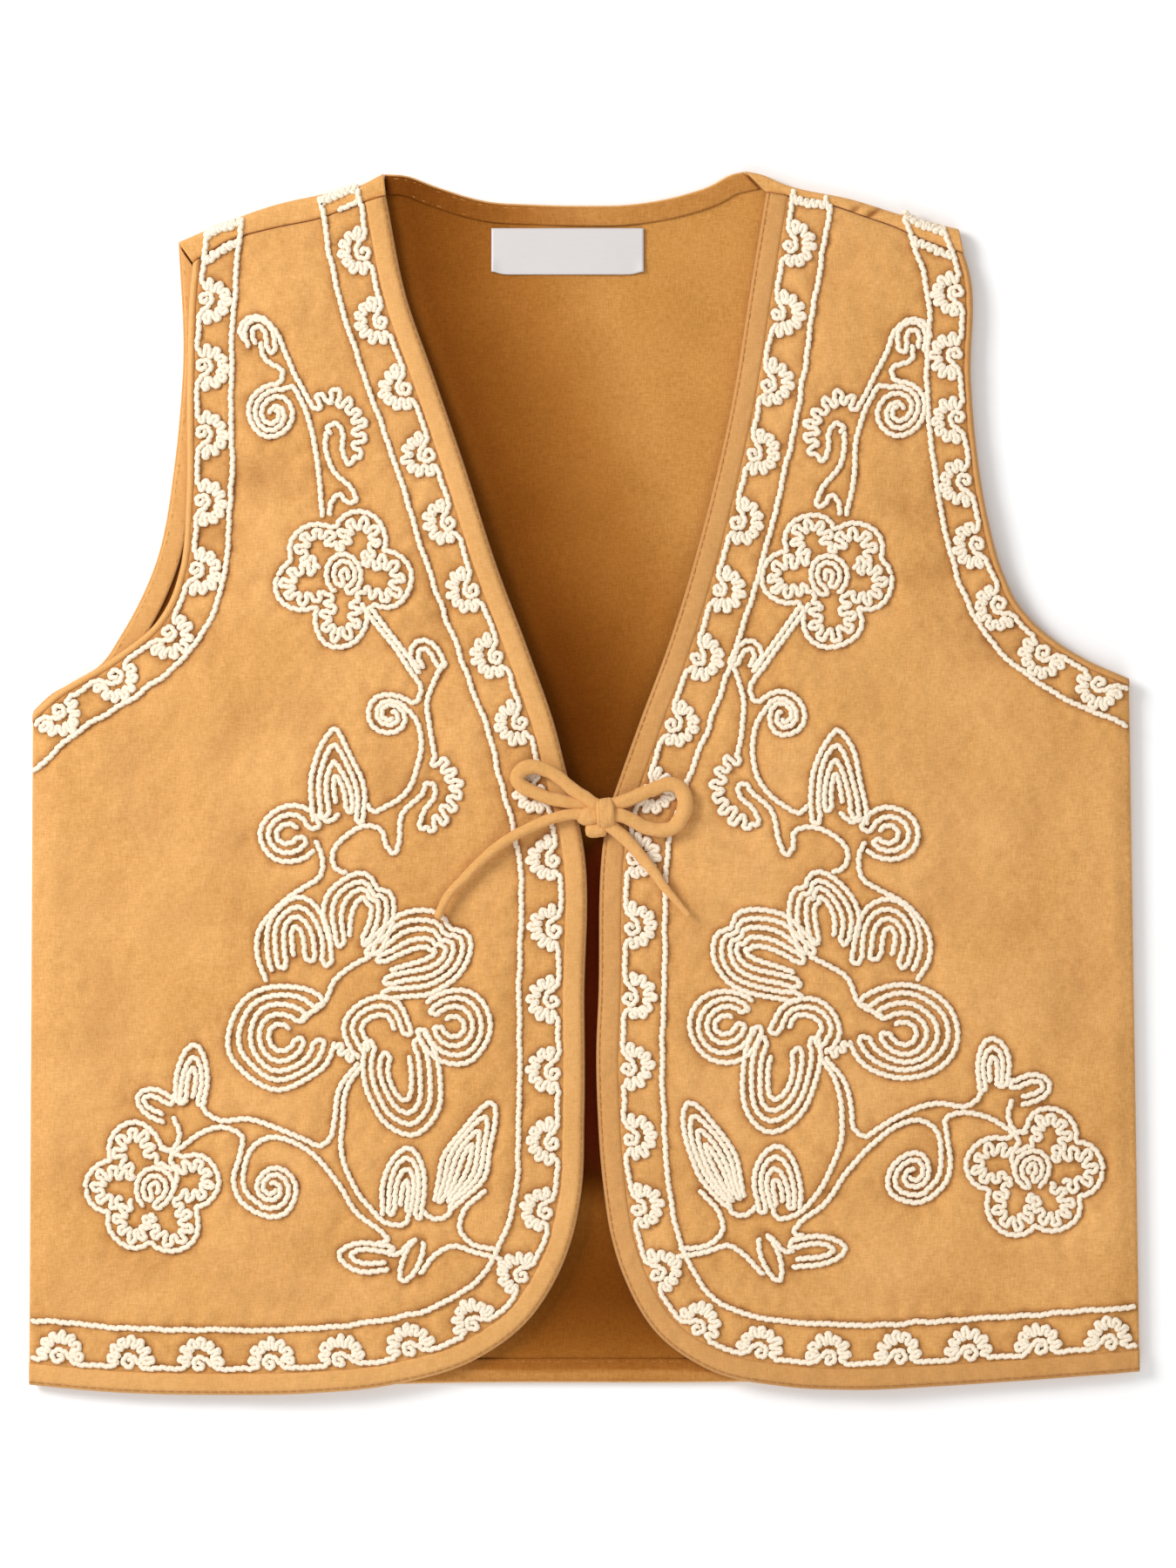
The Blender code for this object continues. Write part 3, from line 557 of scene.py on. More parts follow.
@dataclass
class Front:
    """One front: its edges, and how its cloth lies.

    Attributes:
        name: The side, as seen from the front.
        sign: -1 on the left and 1 on the right.
        edge: Neck, front, corner and hem.
        side: The side seam.
        armhole: The armhole from the underarm up.
        seam: The forward shoulder seam from the armhole to the neck.
        fold: The shoulder's top fold from the neck to the armhole.
        folds: The cloth's troughs.
        cords: The embroidery's lines once they are drawn.
    """

    name: str
    sign: float
    edge: Points
    side: Points
    armhole: Points
    seam: Points
    fold: Points
    folds: tuple[Fold, ...]
    cords: list[Points] = field(default_factory=list)

    def sway(self, out: np.ndarray, y: np.ndarray) -> np.ndarray:
        """The cloth's soft unevenness, calm at its side.

        Args:
            out: Each point's distance out.
            y: Its height on the garment.

        Returns:
            How far the cloth strays up at each point.
        """
        seed = 11 if self.sign < 0 else 12
        total = Ripple(seed, 46.0, 0.22)(out, y) + Ripple(seed + 10, 19.0, 0.13)(out, y)
        for fold in self.folds:
            total = total - fold.sink(out, y)
        return total * smoothstep((HALF_WIDTH - out) / SIDE_CALM)

    def lie(self, out: np.ndarray, y: np.ndarray) -> np.ndarray:
        """The unevenness once it has faded out at the forward seam."""
        return self.sway(out, y) * smoothstep((self.seam_level(out) - y) / SEAM_FADE)

    def seam_level(self, out: np.ndarray) -> np.ndarray:
        """Where the forward seam lies over each distance out."""
        line = self.seam[np.argsort(self.seam[:, 0])]
        return np.interp(out, line[:, 0], line[:, 1])

    def top(self, out: np.ndarray, y: np.ndarray) -> np.ndarray:
        """Find the cloth's face where a cord lies on it, on the front and over the shoulder.

        Args:
            out: Each point's distance out.
            y: Its height on the garment.

        Returns:
            How high the face lies at each point.
        """
        front = front_floor(out, y) + CLOTH + self.lie(out, y)
        beyond = y > self.seam_level(out)
        if not beyond.any():
            return front
        gap = nearest(np.stack((out, y), axis=1), self.fold)
        inner = FOLD_OUTER - np.minimum(gap, FOLD_OUTER)
        over = FOLD_OUTER + np.sqrt(np.maximum(FOLD_OUTER ** 2 - inner ** 2, 0.0))
        return np.where(beyond, over, front)


def make_fronts() -> tuple[Front, ...]:
    """Set out the two fronts from their tables.

    Returns:
        The left front and the right one.
    """
    tables = (
        ("left", -1.0, LEFT_EDGE, LEFT_SIDE, LEFT_ARMHOLE, LEFT_SEAM[::-1], LEFT_FOLD, LEFT_FOLDS),
        ("right", 1.0, RIGHT_EDGE, RIGHT_SIDE, RIGHT_ARMHOLE, RIGHT_SEAM[::-1], RIGHT_FOLD, RIGHT_FOLDS),
    )
    return tuple(Front(name, sign, *map(smooth, curves), folds) for name, sign, *curves, folds in tables)


class Sock:
    """A shader socket with arithmetic, which adds Math nodes."""

    def __init__(self, bench: "Bench", socket: bpy.types.NodeSocket) -> None:
        """Wrap a socket of a bench's node tree."""
        self.bench = bench
        self.socket = socket

    def _math(self, operation: str, first: object, second: object) -> "Sock":
        """One Math node on two values."""
        return self.bench.node("ShaderNodeMath", {"operation": operation}, {0: first, 1: second})

    def __add__(self, other: object) -> "Sock":
        """Sum."""
        return self._math("ADD", self, other)

    def __radd__(self, other: object) -> "Sock":
        """Sum."""
        return self._math("ADD", other, self)

    def __sub__(self, other: object) -> "Sock":
        """Difference."""
        return self._math("SUBTRACT", self, other)

    def __rsub__(self, other: object) -> "Sock":
        """Difference from a number."""
        return self._math("SUBTRACT", other, self)

    def __mul__(self, other: object) -> "Sock":
        """Product."""
        return self._math("MULTIPLY", self, other)

    def __rmul__(self, other: object) -> "Sock":
        """Product."""
        return self._math("MULTIPLY", other, self)


class Bench:
    """A material's node tree, and the one way to add nodes to it."""

    def __init__(self, name: str) -> None:
        """Start a material with its Principled shader.

        Args:
            name: The material's name.
        """
        self.material = bpy.data.materials.new(name)
        self.material.use_nodes = True
        self.tree = self.material.node_tree
        self.shader = self.tree.nodes["Principled BSDF"]

    def node(self, kind: str, settings: dict, values: dict, output: int | str = 0) -> Sock:
        """Add a node.

        Args:
            kind: The node's type.
            settings: Its properties, which are set first.
            values: A number, colour or socket for each input named.
            output: Which output to give back.

        Returns:
            The wrapped output.
        """
        made = self.tree.nodes.new(kind)
        for key, value in settings.items():
            setattr(made, key, value)
        for key, value in values.items():
            self.feed(made.inputs[key], value)
        return Sock(self, made.outputs[output])

    def feed(self, socket: bpy.types.NodeSocket, value: object) -> None:
        """Link a socket, or set its value.

        Args:
            socket: The input.
            value: A wrapped output, or the value itself.
        """
        if isinstance(value, Sock):
            self.tree.links.new(value.socket, socket)
        else:
            socket.default_value = value

    def place(self, scale: tuple[float, float, float]) -> Sock:
        """Object coordinates, scaled."""
        where = self.node("ShaderNodeTexCoord", {}, {}, "Object")
        return self.node("ShaderNodeMapping", {}, {"Vector": where, "Scale": scale})

    def noise(self, scale: tuple[float, float, float], detail: float = 2.0) -> Sock:
        """A noise whose waves are one over the scale, in metres."""
        values = {"Vector": self.place(scale), "Scale": 1.0, "Detail": detail, "Roughness": 0.55}
        return self.node("ShaderNodeTexNoise", {}, values)

    def attribute(self, name: str) -> Sock:
        """A mesh's own number at each point."""
        return self.node("ShaderNodeAttribute", {"attribute_name": name}, {}, "Fac")

    def blend(self, share: object, first: object, second: object, mode: str = "MIX") -> Sock:
        """Mix two colours."""
        settings = {"data_type": "RGBA", "blend_type": mode}
        return self.node("ShaderNodeMix", settings, {0: share, 6: first, 7: second}, 2)

    def ramp(self, share: Sock, stops: Sequence[tuple[float, tuple[float, float, float]]]) -> Sock:
        """Turn a share into a colour.

        Args:
            share: The share.
            stops: Each stop's share and colour.

        Returns:
            The colour.
        """
        made = self.tree.nodes.new("ShaderNodeValToRGB")
        bands = made.color_ramp.elements
        while len(bands) < len(stops):
            bands.new(0.5)
        for band, (position, colour) in zip(bands, stops):
            band.position = position
            band.color = (*colour, 1.0)
        self.feed(made.inputs["Fac"], share)
        return Sock(self, made.outputs["Color"])

    def bump(self, height: Sock, distance: float) -> None:
        """Raise the surface by a height."""
        values = {"Height": height, "Distance": distance, "Strength": 1.0}
        self.feed(self.shader.inputs["Normal"], self.node("ShaderNodeBump", {}, values))

    def settle(self, values: dict[str, object]) -> None:
        """Set what is the same all over the surface."""
        for name, value in values.items():
            self.shader.inputs[name].default_value = value


def shaded(colour: tuple[float, ...], factors: Sequence[float]) -> tuple[float, ...]:
    """A colour with its three parts scaled, and its alpha."""
    return (*(part * factor for part, factor in zip(colour, factors)), 1.0)


# Painted shade: the lining's colour as the light fades between the fronts, as shares of its lit colour. The
# last one is the slit's painted shadow
LINING_PAINTED_SHADE = (
    (0.0, (1.0, 1.0, 1.0)), (0.30, (0.70, 0.575, 0.40)), (0.55, (0.45, 0.315, 0.150)),
    (0.72, (0.28, 0.162, 0.046)), (0.83, (0.17, 0.078, 0.012)), (1.0, (0.25, 0.062, 0.036)),
)


@dataclass(frozen=True)
class ClothFinish:
    """Plain-weave cotton with uneven yarns.

    Attributes:
        name: The material's name.
        colour: The cloth's colour, linear.
        yarn: How far one yarn's colour strays from the next.
        weave: Height of the weave.
        crinkle: Height of the small creases as a share of the weave's.
        painted_shade_stops: Painted shade: what the colour is multiplied by at each share of the mesh's shade
            attribute.
        sheen: The nap's sheen.
        gloss: How much light glances off.
        roughness: How dull it is.
    """

    name: str
    colour: tuple[float, float, float]
    yarn: float = 0.22
    weave: float = 0.00014
    crinkle: float = 1.3
    painted_shade_stops: tuple[tuple[float, tuple[float, float, float]], ...] = (
        (0.0, (1.0, 1.0, 1.0)), (1.0, (0.44, 0.30, 0.20)))
    sheen: float = 0.10
    gloss: float = 0.20
    roughness: float = 0.88

    def make(self) -> bpy.types.Material:
        """Build the material.

        Returns:
            The material.
        """
        bench = Bench(self.name)
        weft = bench.noise((480.0, 2600.0, 900.0))
        warp = bench.noise((2600.0, 480.0, 900.0))
        broad = bench.noise((26.0, 26.0, 26.0))
        yarns = weft * 0.5 + warp * 0.5
        light = shaded(self.colour, [1.0 + self.yarn * swing for swing in (0.75, 1.0, 1.7)])
        dark = shaded(self.colour, [1.0 - self.yarn * swing for swing in (0.85, 1.15, 2.0)])
        tone = (yarns - 0.5) * 2.2 + (broad - 0.5) * 0.9 + 0.5
        # Painted shade: the mesh's shade attribute darkens the colour through the ramp
        depth = bench.ramp(bench.attribute("shade"), self.painted_shade_stops)
        colour = bench.blend(1.0, bench.blend(tone, dark, light), depth, "MULTIPLY")
        bench.feed(bench.shader.inputs["Base Color"], colour)
        bench.settle({"Roughness": self.roughness, "Specular IOR Level": self.gloss,
                      "Sheen Weight": self.sheen, "Sheen Roughness": 0.5})
        crease = bench.noise((150.0, 210.0, 150.0), 3.0)
        bench.bump(yarns + crease * self.crinkle, self.weave)
        return bench.material


@dataclass(frozen=True)
class CordFinish:
    """Soft cream cotton cord with fine fibres.

    Attributes:
        name: The material's name.
        colour: The cord's colour, linear.
        fibre: Height of the fibres.
        sheen: The nap's sheen.
        gloss: How much light glances off.
        roughness: How dull it is.
    """

    name: str
    colour: tuple[float, float, float]
    fibre: float = 0.00012
    sheen: float = 0.15
    gloss: float = 0.3
    roughness: float = 0.8

    def make(self) -> bpy.types.Material:
        """Build the material.

        Returns:
            The material.
        """
        bench = Bench(self.name)
        fibre = bench.noise((1700.0, 1700.0, 1700.0), 3.0)
        broad = bench.noise((90.0, 90.0, 90.0))
        dark = shaded(self.colour, (0.84, 0.77, 0.68))
        # The colour darkens with the mesh's painted shade, under the cord's sides and at its pinches
        tone = (fibre - 0.5) * 1.2 + (broad - 0.5) * 0.5 + 0.6 - bench.attribute("shade") * 0.9
        bench.feed(bench.shader.inputs["Base Color"], bench.blend(tone, dark, (*self.colour, 1.0)))
        bench.settle({"Roughness": self.roughness, "Specular IOR Level": self.gloss,
                      "Sheen Weight": self.sheen})
        bench.bump(fibre, self.fibre)
        return bench.material


@dataclass(frozen=True)
class SatinFinish:
    """A pale satin ribbon with a fine rib.

    Attributes:
        name: The material's name.
        colour: The ribbon's colour, linear.
        rib: Height of the rib.
        sheen: Its sheen.
        roughness: How dull it is.
    """

    name: str
    colour: tuple[float, float, float]
    rib: float = 0.00005
    sheen: float = 0.1
    roughness: float = 0.42

    def make(self) -> bpy.types.Material:
        """Build the material.

        Returns:
            The material.
        """
        bench = Bench(self.name)
        rib = bench.noise((300.0, 3200.0, 800.0))
        cloud = bench.noise((60.0, 60.0, 60.0))
        dark = shaded(self.colour, (0.93, 0.93, 0.93))
        tone = (rib - 0.5) * 1.0 + (cloud - 0.5) * 0.6 + 0.5
        bench.feed(bench.shader.inputs["Base Color"], bench.blend(tone, dark, (*self.colour, 1.0)))
        bench.settle({"Roughness": self.roughness, "Sheen Weight": self.sheen})
        bench.bump(rib, self.rib)
        return bench.material


SHELL = ClothFinish("ochre_cotton", (0.668, 0.342, 0.109), crinkle=3.4)
BINDING = ClothFinish("ochre_binding", (0.660, 0.342, 0.113), yarn=0.15, crinkle=2.4)
LINING = ClothFinish("ochre_lining", (0.520, 0.239, 0.061), yarn=0.24, painted_shade_stops=LINING_PAINTED_SHADE, sheen=0.0,
                     gloss=0.04)
FACING = replace(LINING, name="ochre_facing", colour=(0.470, 0.205, 0.052))
THREAD = ClothFinish("ochre_thread", (0.450, 0.200, 0.055), yarn=0.1)
CORD = CordFinish("cream_cord", (0.95, 0.85, 0.70))
SATIN = SatinFinish("label_satin", (0.615, 0.575, 0.565))


class Workroom:
    """Turns points in millimetres into finished pieces of the waistcoat."""

    def __init__(self) -> None:
        """Work out where the drawing's origin lies in the frame, and make the finishes."""
        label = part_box("label")[0]
        self.shift = np.array((label[0] - LABEL_BOX[0] * MM, label[1] - LABEL_BOX[1] * MM, 0.0))
        finishes = (SHELL, BINDING, LINING, FACING, THREAD, CORD, SATIN)
        self.materials = {finish.name: finish.make() for finish in finishes}

    def piece(self, name: str, points: Points, faces: Iterable, finish: object, slot: Slot,
              replaced: Sequence[str] = (), shade: np.ndarray | None = None) -> bpy.types.Object:
        """Make one piece that rides with the waistcoat.

        Args:
            name: The piece's name.
            points: Its points in millimetres.
            faces: Its faces, turned outwards.
            finish: Its finish.
            slot: The record's slot for that finish. Not used.
            replaced: The solids that it stands for.
            shade: How far each point's colour is darkened by painted shade, from 0 to 1; on the fronts it
                also holds a random tone.

        Returns:
            The new object.
        """
        mesh = bpy.data.meshes.new(name)
        places = np.asarray(points, float) * MM + self.shift
        mesh.from_pydata([tuple(place) for place in places], [], [tuple(face) for face in faces])
        mesh.shade_smooth()
        values = np.zeros(len(places)) if shade is None else np.clip(shade, 0.0, 1.0)
        mesh.attributes.new("shade", "FLOAT", "POINT").data.foreach_set("value", values.astype(np.float32))
        mesh.materials.append(self.materials[finish.name])
        piece = bpy.data.objects.new(name, mesh)
        bpy.context.collection.objects.link(piece)
        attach(piece, "root")
        if replaced:
            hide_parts(*replaced)
        log.info("%s: %d points, %d faces", name, len(mesh.vertices), len(mesh.polygons))
        return piece


def meander(path: Points, width: float, period: float, fade: np.ndarray | None = None,
            roundness: float = 0.085) -> Points:
    """A line that swings from side to side of a path in round lobes.

    Args:
        path: The path that it follows, sampled evenly.
        width: How far it swings to each side.
        period: The length of one lobe along the path.
        fade: The share of the swing at each of the path's points.
        roundness: How bulbous the lobes are.

    Returns:
        The line.
    """
    lengths = np.concatenate(([0.0], np.cumsum(np.linalg.norm(np.diff(path, axis=0), axis=1))))
    lobes = max(1, round(lengths[-1] / period))
    phase = np.linspace(0.0, 2.0 * math.pi * lobes, lobes * 16)
    pace = lengths[-1] / (2.0 * math.pi * lobes)
    along = np.clip(phase * pace - roundness * period * np.sin(2.0 * phase), 0.0, lengths[-1])
    turned = normals(path)
    base = np.stack([np.interp(along, lengths, path[:, axis]) for axis in (0, 1)], axis=1)
    side = np.stack([np.interp(along, lengths, turned[:, axis]) for axis in (0, 1)], axis=1)
    swing = width * np.sin(phase) * (1.0 + 0.16 * np.sin(0.37 * phase + path[0, 0]))
    if fade is not None:
        swing = swing * np.interp(along, lengths, fade)
    return base + side * swing[:, None]


@dataclass(frozen=True)
class Run:
    """A stretch of a stroke through a few points, which may meander.

    Attributes:
        points: The points that it runs through.
        swing: How far it meanders to each side.
        period: The length of one lobe.
    """

    points: tuple[tuple[float, float], ...]
    swing: float = 0.0
    period: float = 3.4

    def line(self) -> Points:
        """Draw the stretch."""
        path = smooth(self.points, 0.8)
        return meander(path, self.swing, self.period) if self.swing else path


@dataclass(frozen=True)
class Coil:
    """A stretch of a stroke that winds in to a centre, or out from it.

    Attributes:
        out: The centre's distance out.
        y: The centre's height.
        reach: The first turn's radius.
        turns: How many turns it has.
        heading: Where it starts, in degrees.
        outwards: Whether it is sewn from the middle out.
        end: The last turn's radius.
    """

    out: float
    y: float
    reach: float
    turns: float
    heading: float
    outwards: bool = False
    end: float = 1.0

    def line(self) -> Points:
        """Draw the stretch.

        Returns:
            The line.
        """
        share = np.linspace(0.0, 1.0, int(26 * self.turns) + 4)
        angle = math.radians(self.heading) - 2.0 * math.pi * self.turns * share
        radius = self.reach + (self.end - self.reach) * share
        wound = np.stack((self.out + radius * np.cos(angle), self.y + radius * np.sin(angle)), axis=1)
        return wound[::-1] if self.outwards else wound


@dataclass(frozen=True)
class Petal:
    """A petal or leaf of nested lines, sewn to and fro from its edge to its middle.

    Attributes:
        out: Its centre's distance out.
        y: Its centre's height.
        half_width: Half its width.
        half_length: The length of its head from the centre.
        heading: The way that it points, in degrees.
        lines: How many lines it has.
        step: The distance between its lines.
        nest: How much faster the lines draw back from the tip than from the sides.
        legs: The length of its straight legs behind the centre.
        flare: The width between the legs' ends as a share of the whole width.
        dip: How deep a notch it has.
        dip_at: The notch's place round the head, in degrees from the tip.
        point: How pointed its tip is.
        span: How far each line runs round from the tip, in degrees.
    """

    out: float
    y: float
    half_width: float
    half_length: float
    heading: float
    lines: int
    step: float = 2.3
    nest: float = 1.0
    legs: float = 0.0
    flare: float = 0.9
    dip: float = 0.0
    dip_at: float = 0.0
    point: float = 0.0
    span: float = 90.0

    def line(self) -> Points:
        """Draw the petal.

        Returns:
            One line, sewn to and fro.
        """
        turn = math.radians(self.heading)
        rows = []
        for index in range(self.lines):
            inset = self.step * index
            wide, long = self.half_width - inset, self.half_length - inset * self.nest
            if min(wide, long) < 0.8:
                break
            angle = np.radians(np.linspace(-self.span, self.span, 26))
            notch = 1.0 - self.dip * np.exp(-((angle - math.radians(self.dip_at)) / 0.30) ** 2)
            along = long * np.cos(angle) * notch
            across = wide * np.sin(angle) * notch * np.abs(np.sin(angle / 2.0)) ** self.point
            if self.legs:
                leg = max(1.2, self.legs - 0.45 * inset)
                back = np.array((-leg, -0.6 * leg))
                along = np.concatenate((back, along, back[::-1]))
                ends = across[-1] * np.array((self.flare, 0.5 + 0.5 * self.flare))
                across = np.concatenate((-ends, across, ends[::-1]))
            row = np.stack((along, across), axis=1)
            row = row[::-1] if index % 2 else row
            if rows:
                hairpin = (rows[-1][-1] + row[0]) / 2.0
                rows.append(hairpin[None] - np.array(((0.5 * self.step, 0.0),)))
            rows.append(row)
        drawn = smooth(np.vstack(rows), 0.7)
        along, across = drawn[:, 0], drawn[:, 1]
        return np.stack((self.out + along * math.cos(turn) - across * math.sin(turn),
                         self.y + along * math.sin(turn) + across * math.cos(turn)), axis=1)


@dataclass(frozen=True)
class SmallFlower:
    """A five-petalled flower: an outline, a meander inside each petal and nested curls in the middle.

    Attributes:
        out: Its centre's distance out.
        y: Its centre's height.
        petals: Each petal's heading in degrees and its centre's distance.
        lobe: The petals' radius.
        cusp: How near the middle the meander comes between petals.
    """

    out: float
    y: float
    petals: tuple[tuple[float, float], ...]
    lobe: float = 8.4
    cusp: float = 7.4

    def ring(self, lobe: float, low: float) -> Points:
        """The line round all the petals' circles.

        Args:
            lobe: The circles' radius.
            low: How near the middle it comes between petals.

        Returns:
            The line.
        """
        angle = np.linspace(0.0, 2.0 * math.pi, 261)
        reach = np.full(angle.size, low)
        for heading, distance in self.petals:
            swing = angle - math.radians(heading)
            half_chord = lobe ** 2 - (distance * np.sin(swing)) ** 2
            far = distance * np.cos(swing) + np.sqrt(np.maximum(half_chord, 0.0))
            reach = np.where((half_chord > 0.0) & (np.cos(swing) > 0.0), np.maximum(reach, far), reach)
        return np.stack((self.out + reach * np.cos(angle), self.y + reach * np.sin(angle)), axis=1)

    def filling(self) -> Points:
        """The meander that follows the inside of each petal and comes in between them.

        Returns:
            The line.
        """
        points = []
        count = len(self.petals)
        for index, (heading, distance) in enumerate(self.petals):
            after = self.petals[(index + 1) % count][0] + (360.0 if index + 1 == count else 0.0)
            round_petal = np.radians(heading + np.linspace(-118.0, 118.0, 9))
            reach = self.lobe - 3.5
            centre = distance * np.array((math.cos(math.radians(heading)), math.sin(math.radians(heading))))
            points.extend(centre + reach * np.array((math.cos(turn), math.sin(turn))) for turn in round_petal)
            halfway = math.radians((heading + after) / 2.0)
            points.append(self.cusp * np.array((math.cos(halfway), math.sin(halfway))))
        path = smooth(np.array(points) + (self.out, self.y), 0.7)
        away = np.linalg.norm(path - (self.out, self.y), axis=1)
        return meander(path, 1.75, 3.7, np.clip((away - self.cusp) / 3.0, 0.1, 1.0))

    def lines(self) -> list[Points]:
        """Draw the flower.

        Returns:
            Its outline, filling and middle.
        """
        middle = Petal(self.out, self.y, 5.6, 6.0, 96.0, 3, step=2.2, span=158.0)
        outline = smooth(self.ring(self.lobe, 13.2)[::4], 0.8)
        return [outline, self.filling(), middle.line()]


SMALL_FLOWERS = (
    SmallFlower(75.0, 64.1, ((47.0, 11.0), (117.0, 12.6), (183.0, 13.0), (272.0, 13.4), (349.0, 11.8))),
    SmallFlower(133.5, -125.7, ((2.0, 12.4), (64.0, 12.8), (170.0, 12.2), (242.0, 12.4), (302.0, 12.2))),
)
PETALS = (
    Petal(89.0, -47.6, 9.8, 11.0, 80.0, 4, step=2.7, legs=9.5),
    Petal(69.8, -42.0, 10.8, 14.6, 97.0, 4, step=2.6, legs=9.5, flare=0.72, dip=0.24, dip_at=27.0),
    Petal(51.6, -53.0, 12.6, 16.4, 158.0, 5, step=2.6, legs=15.0, flare=0.70, dip=0.20, dip_at=-24.0),
    Petal(40.2, -75.4, 11.2, 11.4, 196.0, 4, step=2.7, span=154.0),
    Petal(56.4, -90.6, 12.2, 19.4, 260.0, 4, step=2.7, nest=1.4, point=0.16, span=130.0),
    Petal(93.8, -78.8, 16.0, 16.6, 342.0, 5, step=3.1, span=153.0),
    Petal(65.0, -75.0, 9.8, 8.2, 66.0, 3, step=2.7, legs=6.4, flare=0.95),
    Petal(76.6, -4.0, 9.4, 21.0, 88.0, 4, step=2.5, nest=1.9, point=0.34, span=114.0),
    Petal(91.4, -15.8, 8.6, 8.8, 6.0, 3, step=2.8, span=156.0),
    Petal(49.0, 38.6, 4.4, 5.4, 62.0, 2, step=2.4, legs=3.6),
    Petal(100.6, 138.4, 4.2, 4.8, 84.0, 2, step=2.3, legs=4.0),
    Petal(55.8, -126.4, 7.2, 12.6, 92.0, 4, step=2.0, nest=1.6, legs=7.6, flare=0.85, point=0.12),
    Petal(36.6, -117.2, 7.0, 19.4, 116.0, 4, step=1.95, nest=2.4, legs=15.0, flare=0.40, point=0.20),
    Petal(121.2, -91.8, 5.2, 10.8, 94.0, 3, step=1.9, nest=1.8, legs=7.4, flare=0.8, point=0.10),
    Petal(133.0, -99.6, 4.2, 6.2, 22.0, 2, step=2.3, legs=5.0),
    Petal(67.6, -147.2, 4.6, 8.8, 4.0, 2, step=2.4, nest=1.6, legs=7.4, flare=0.9, point=0.2),
    Petal(53.8, -147.8, 2.4, 7.6, 293.0, 1, span=160.0),
)
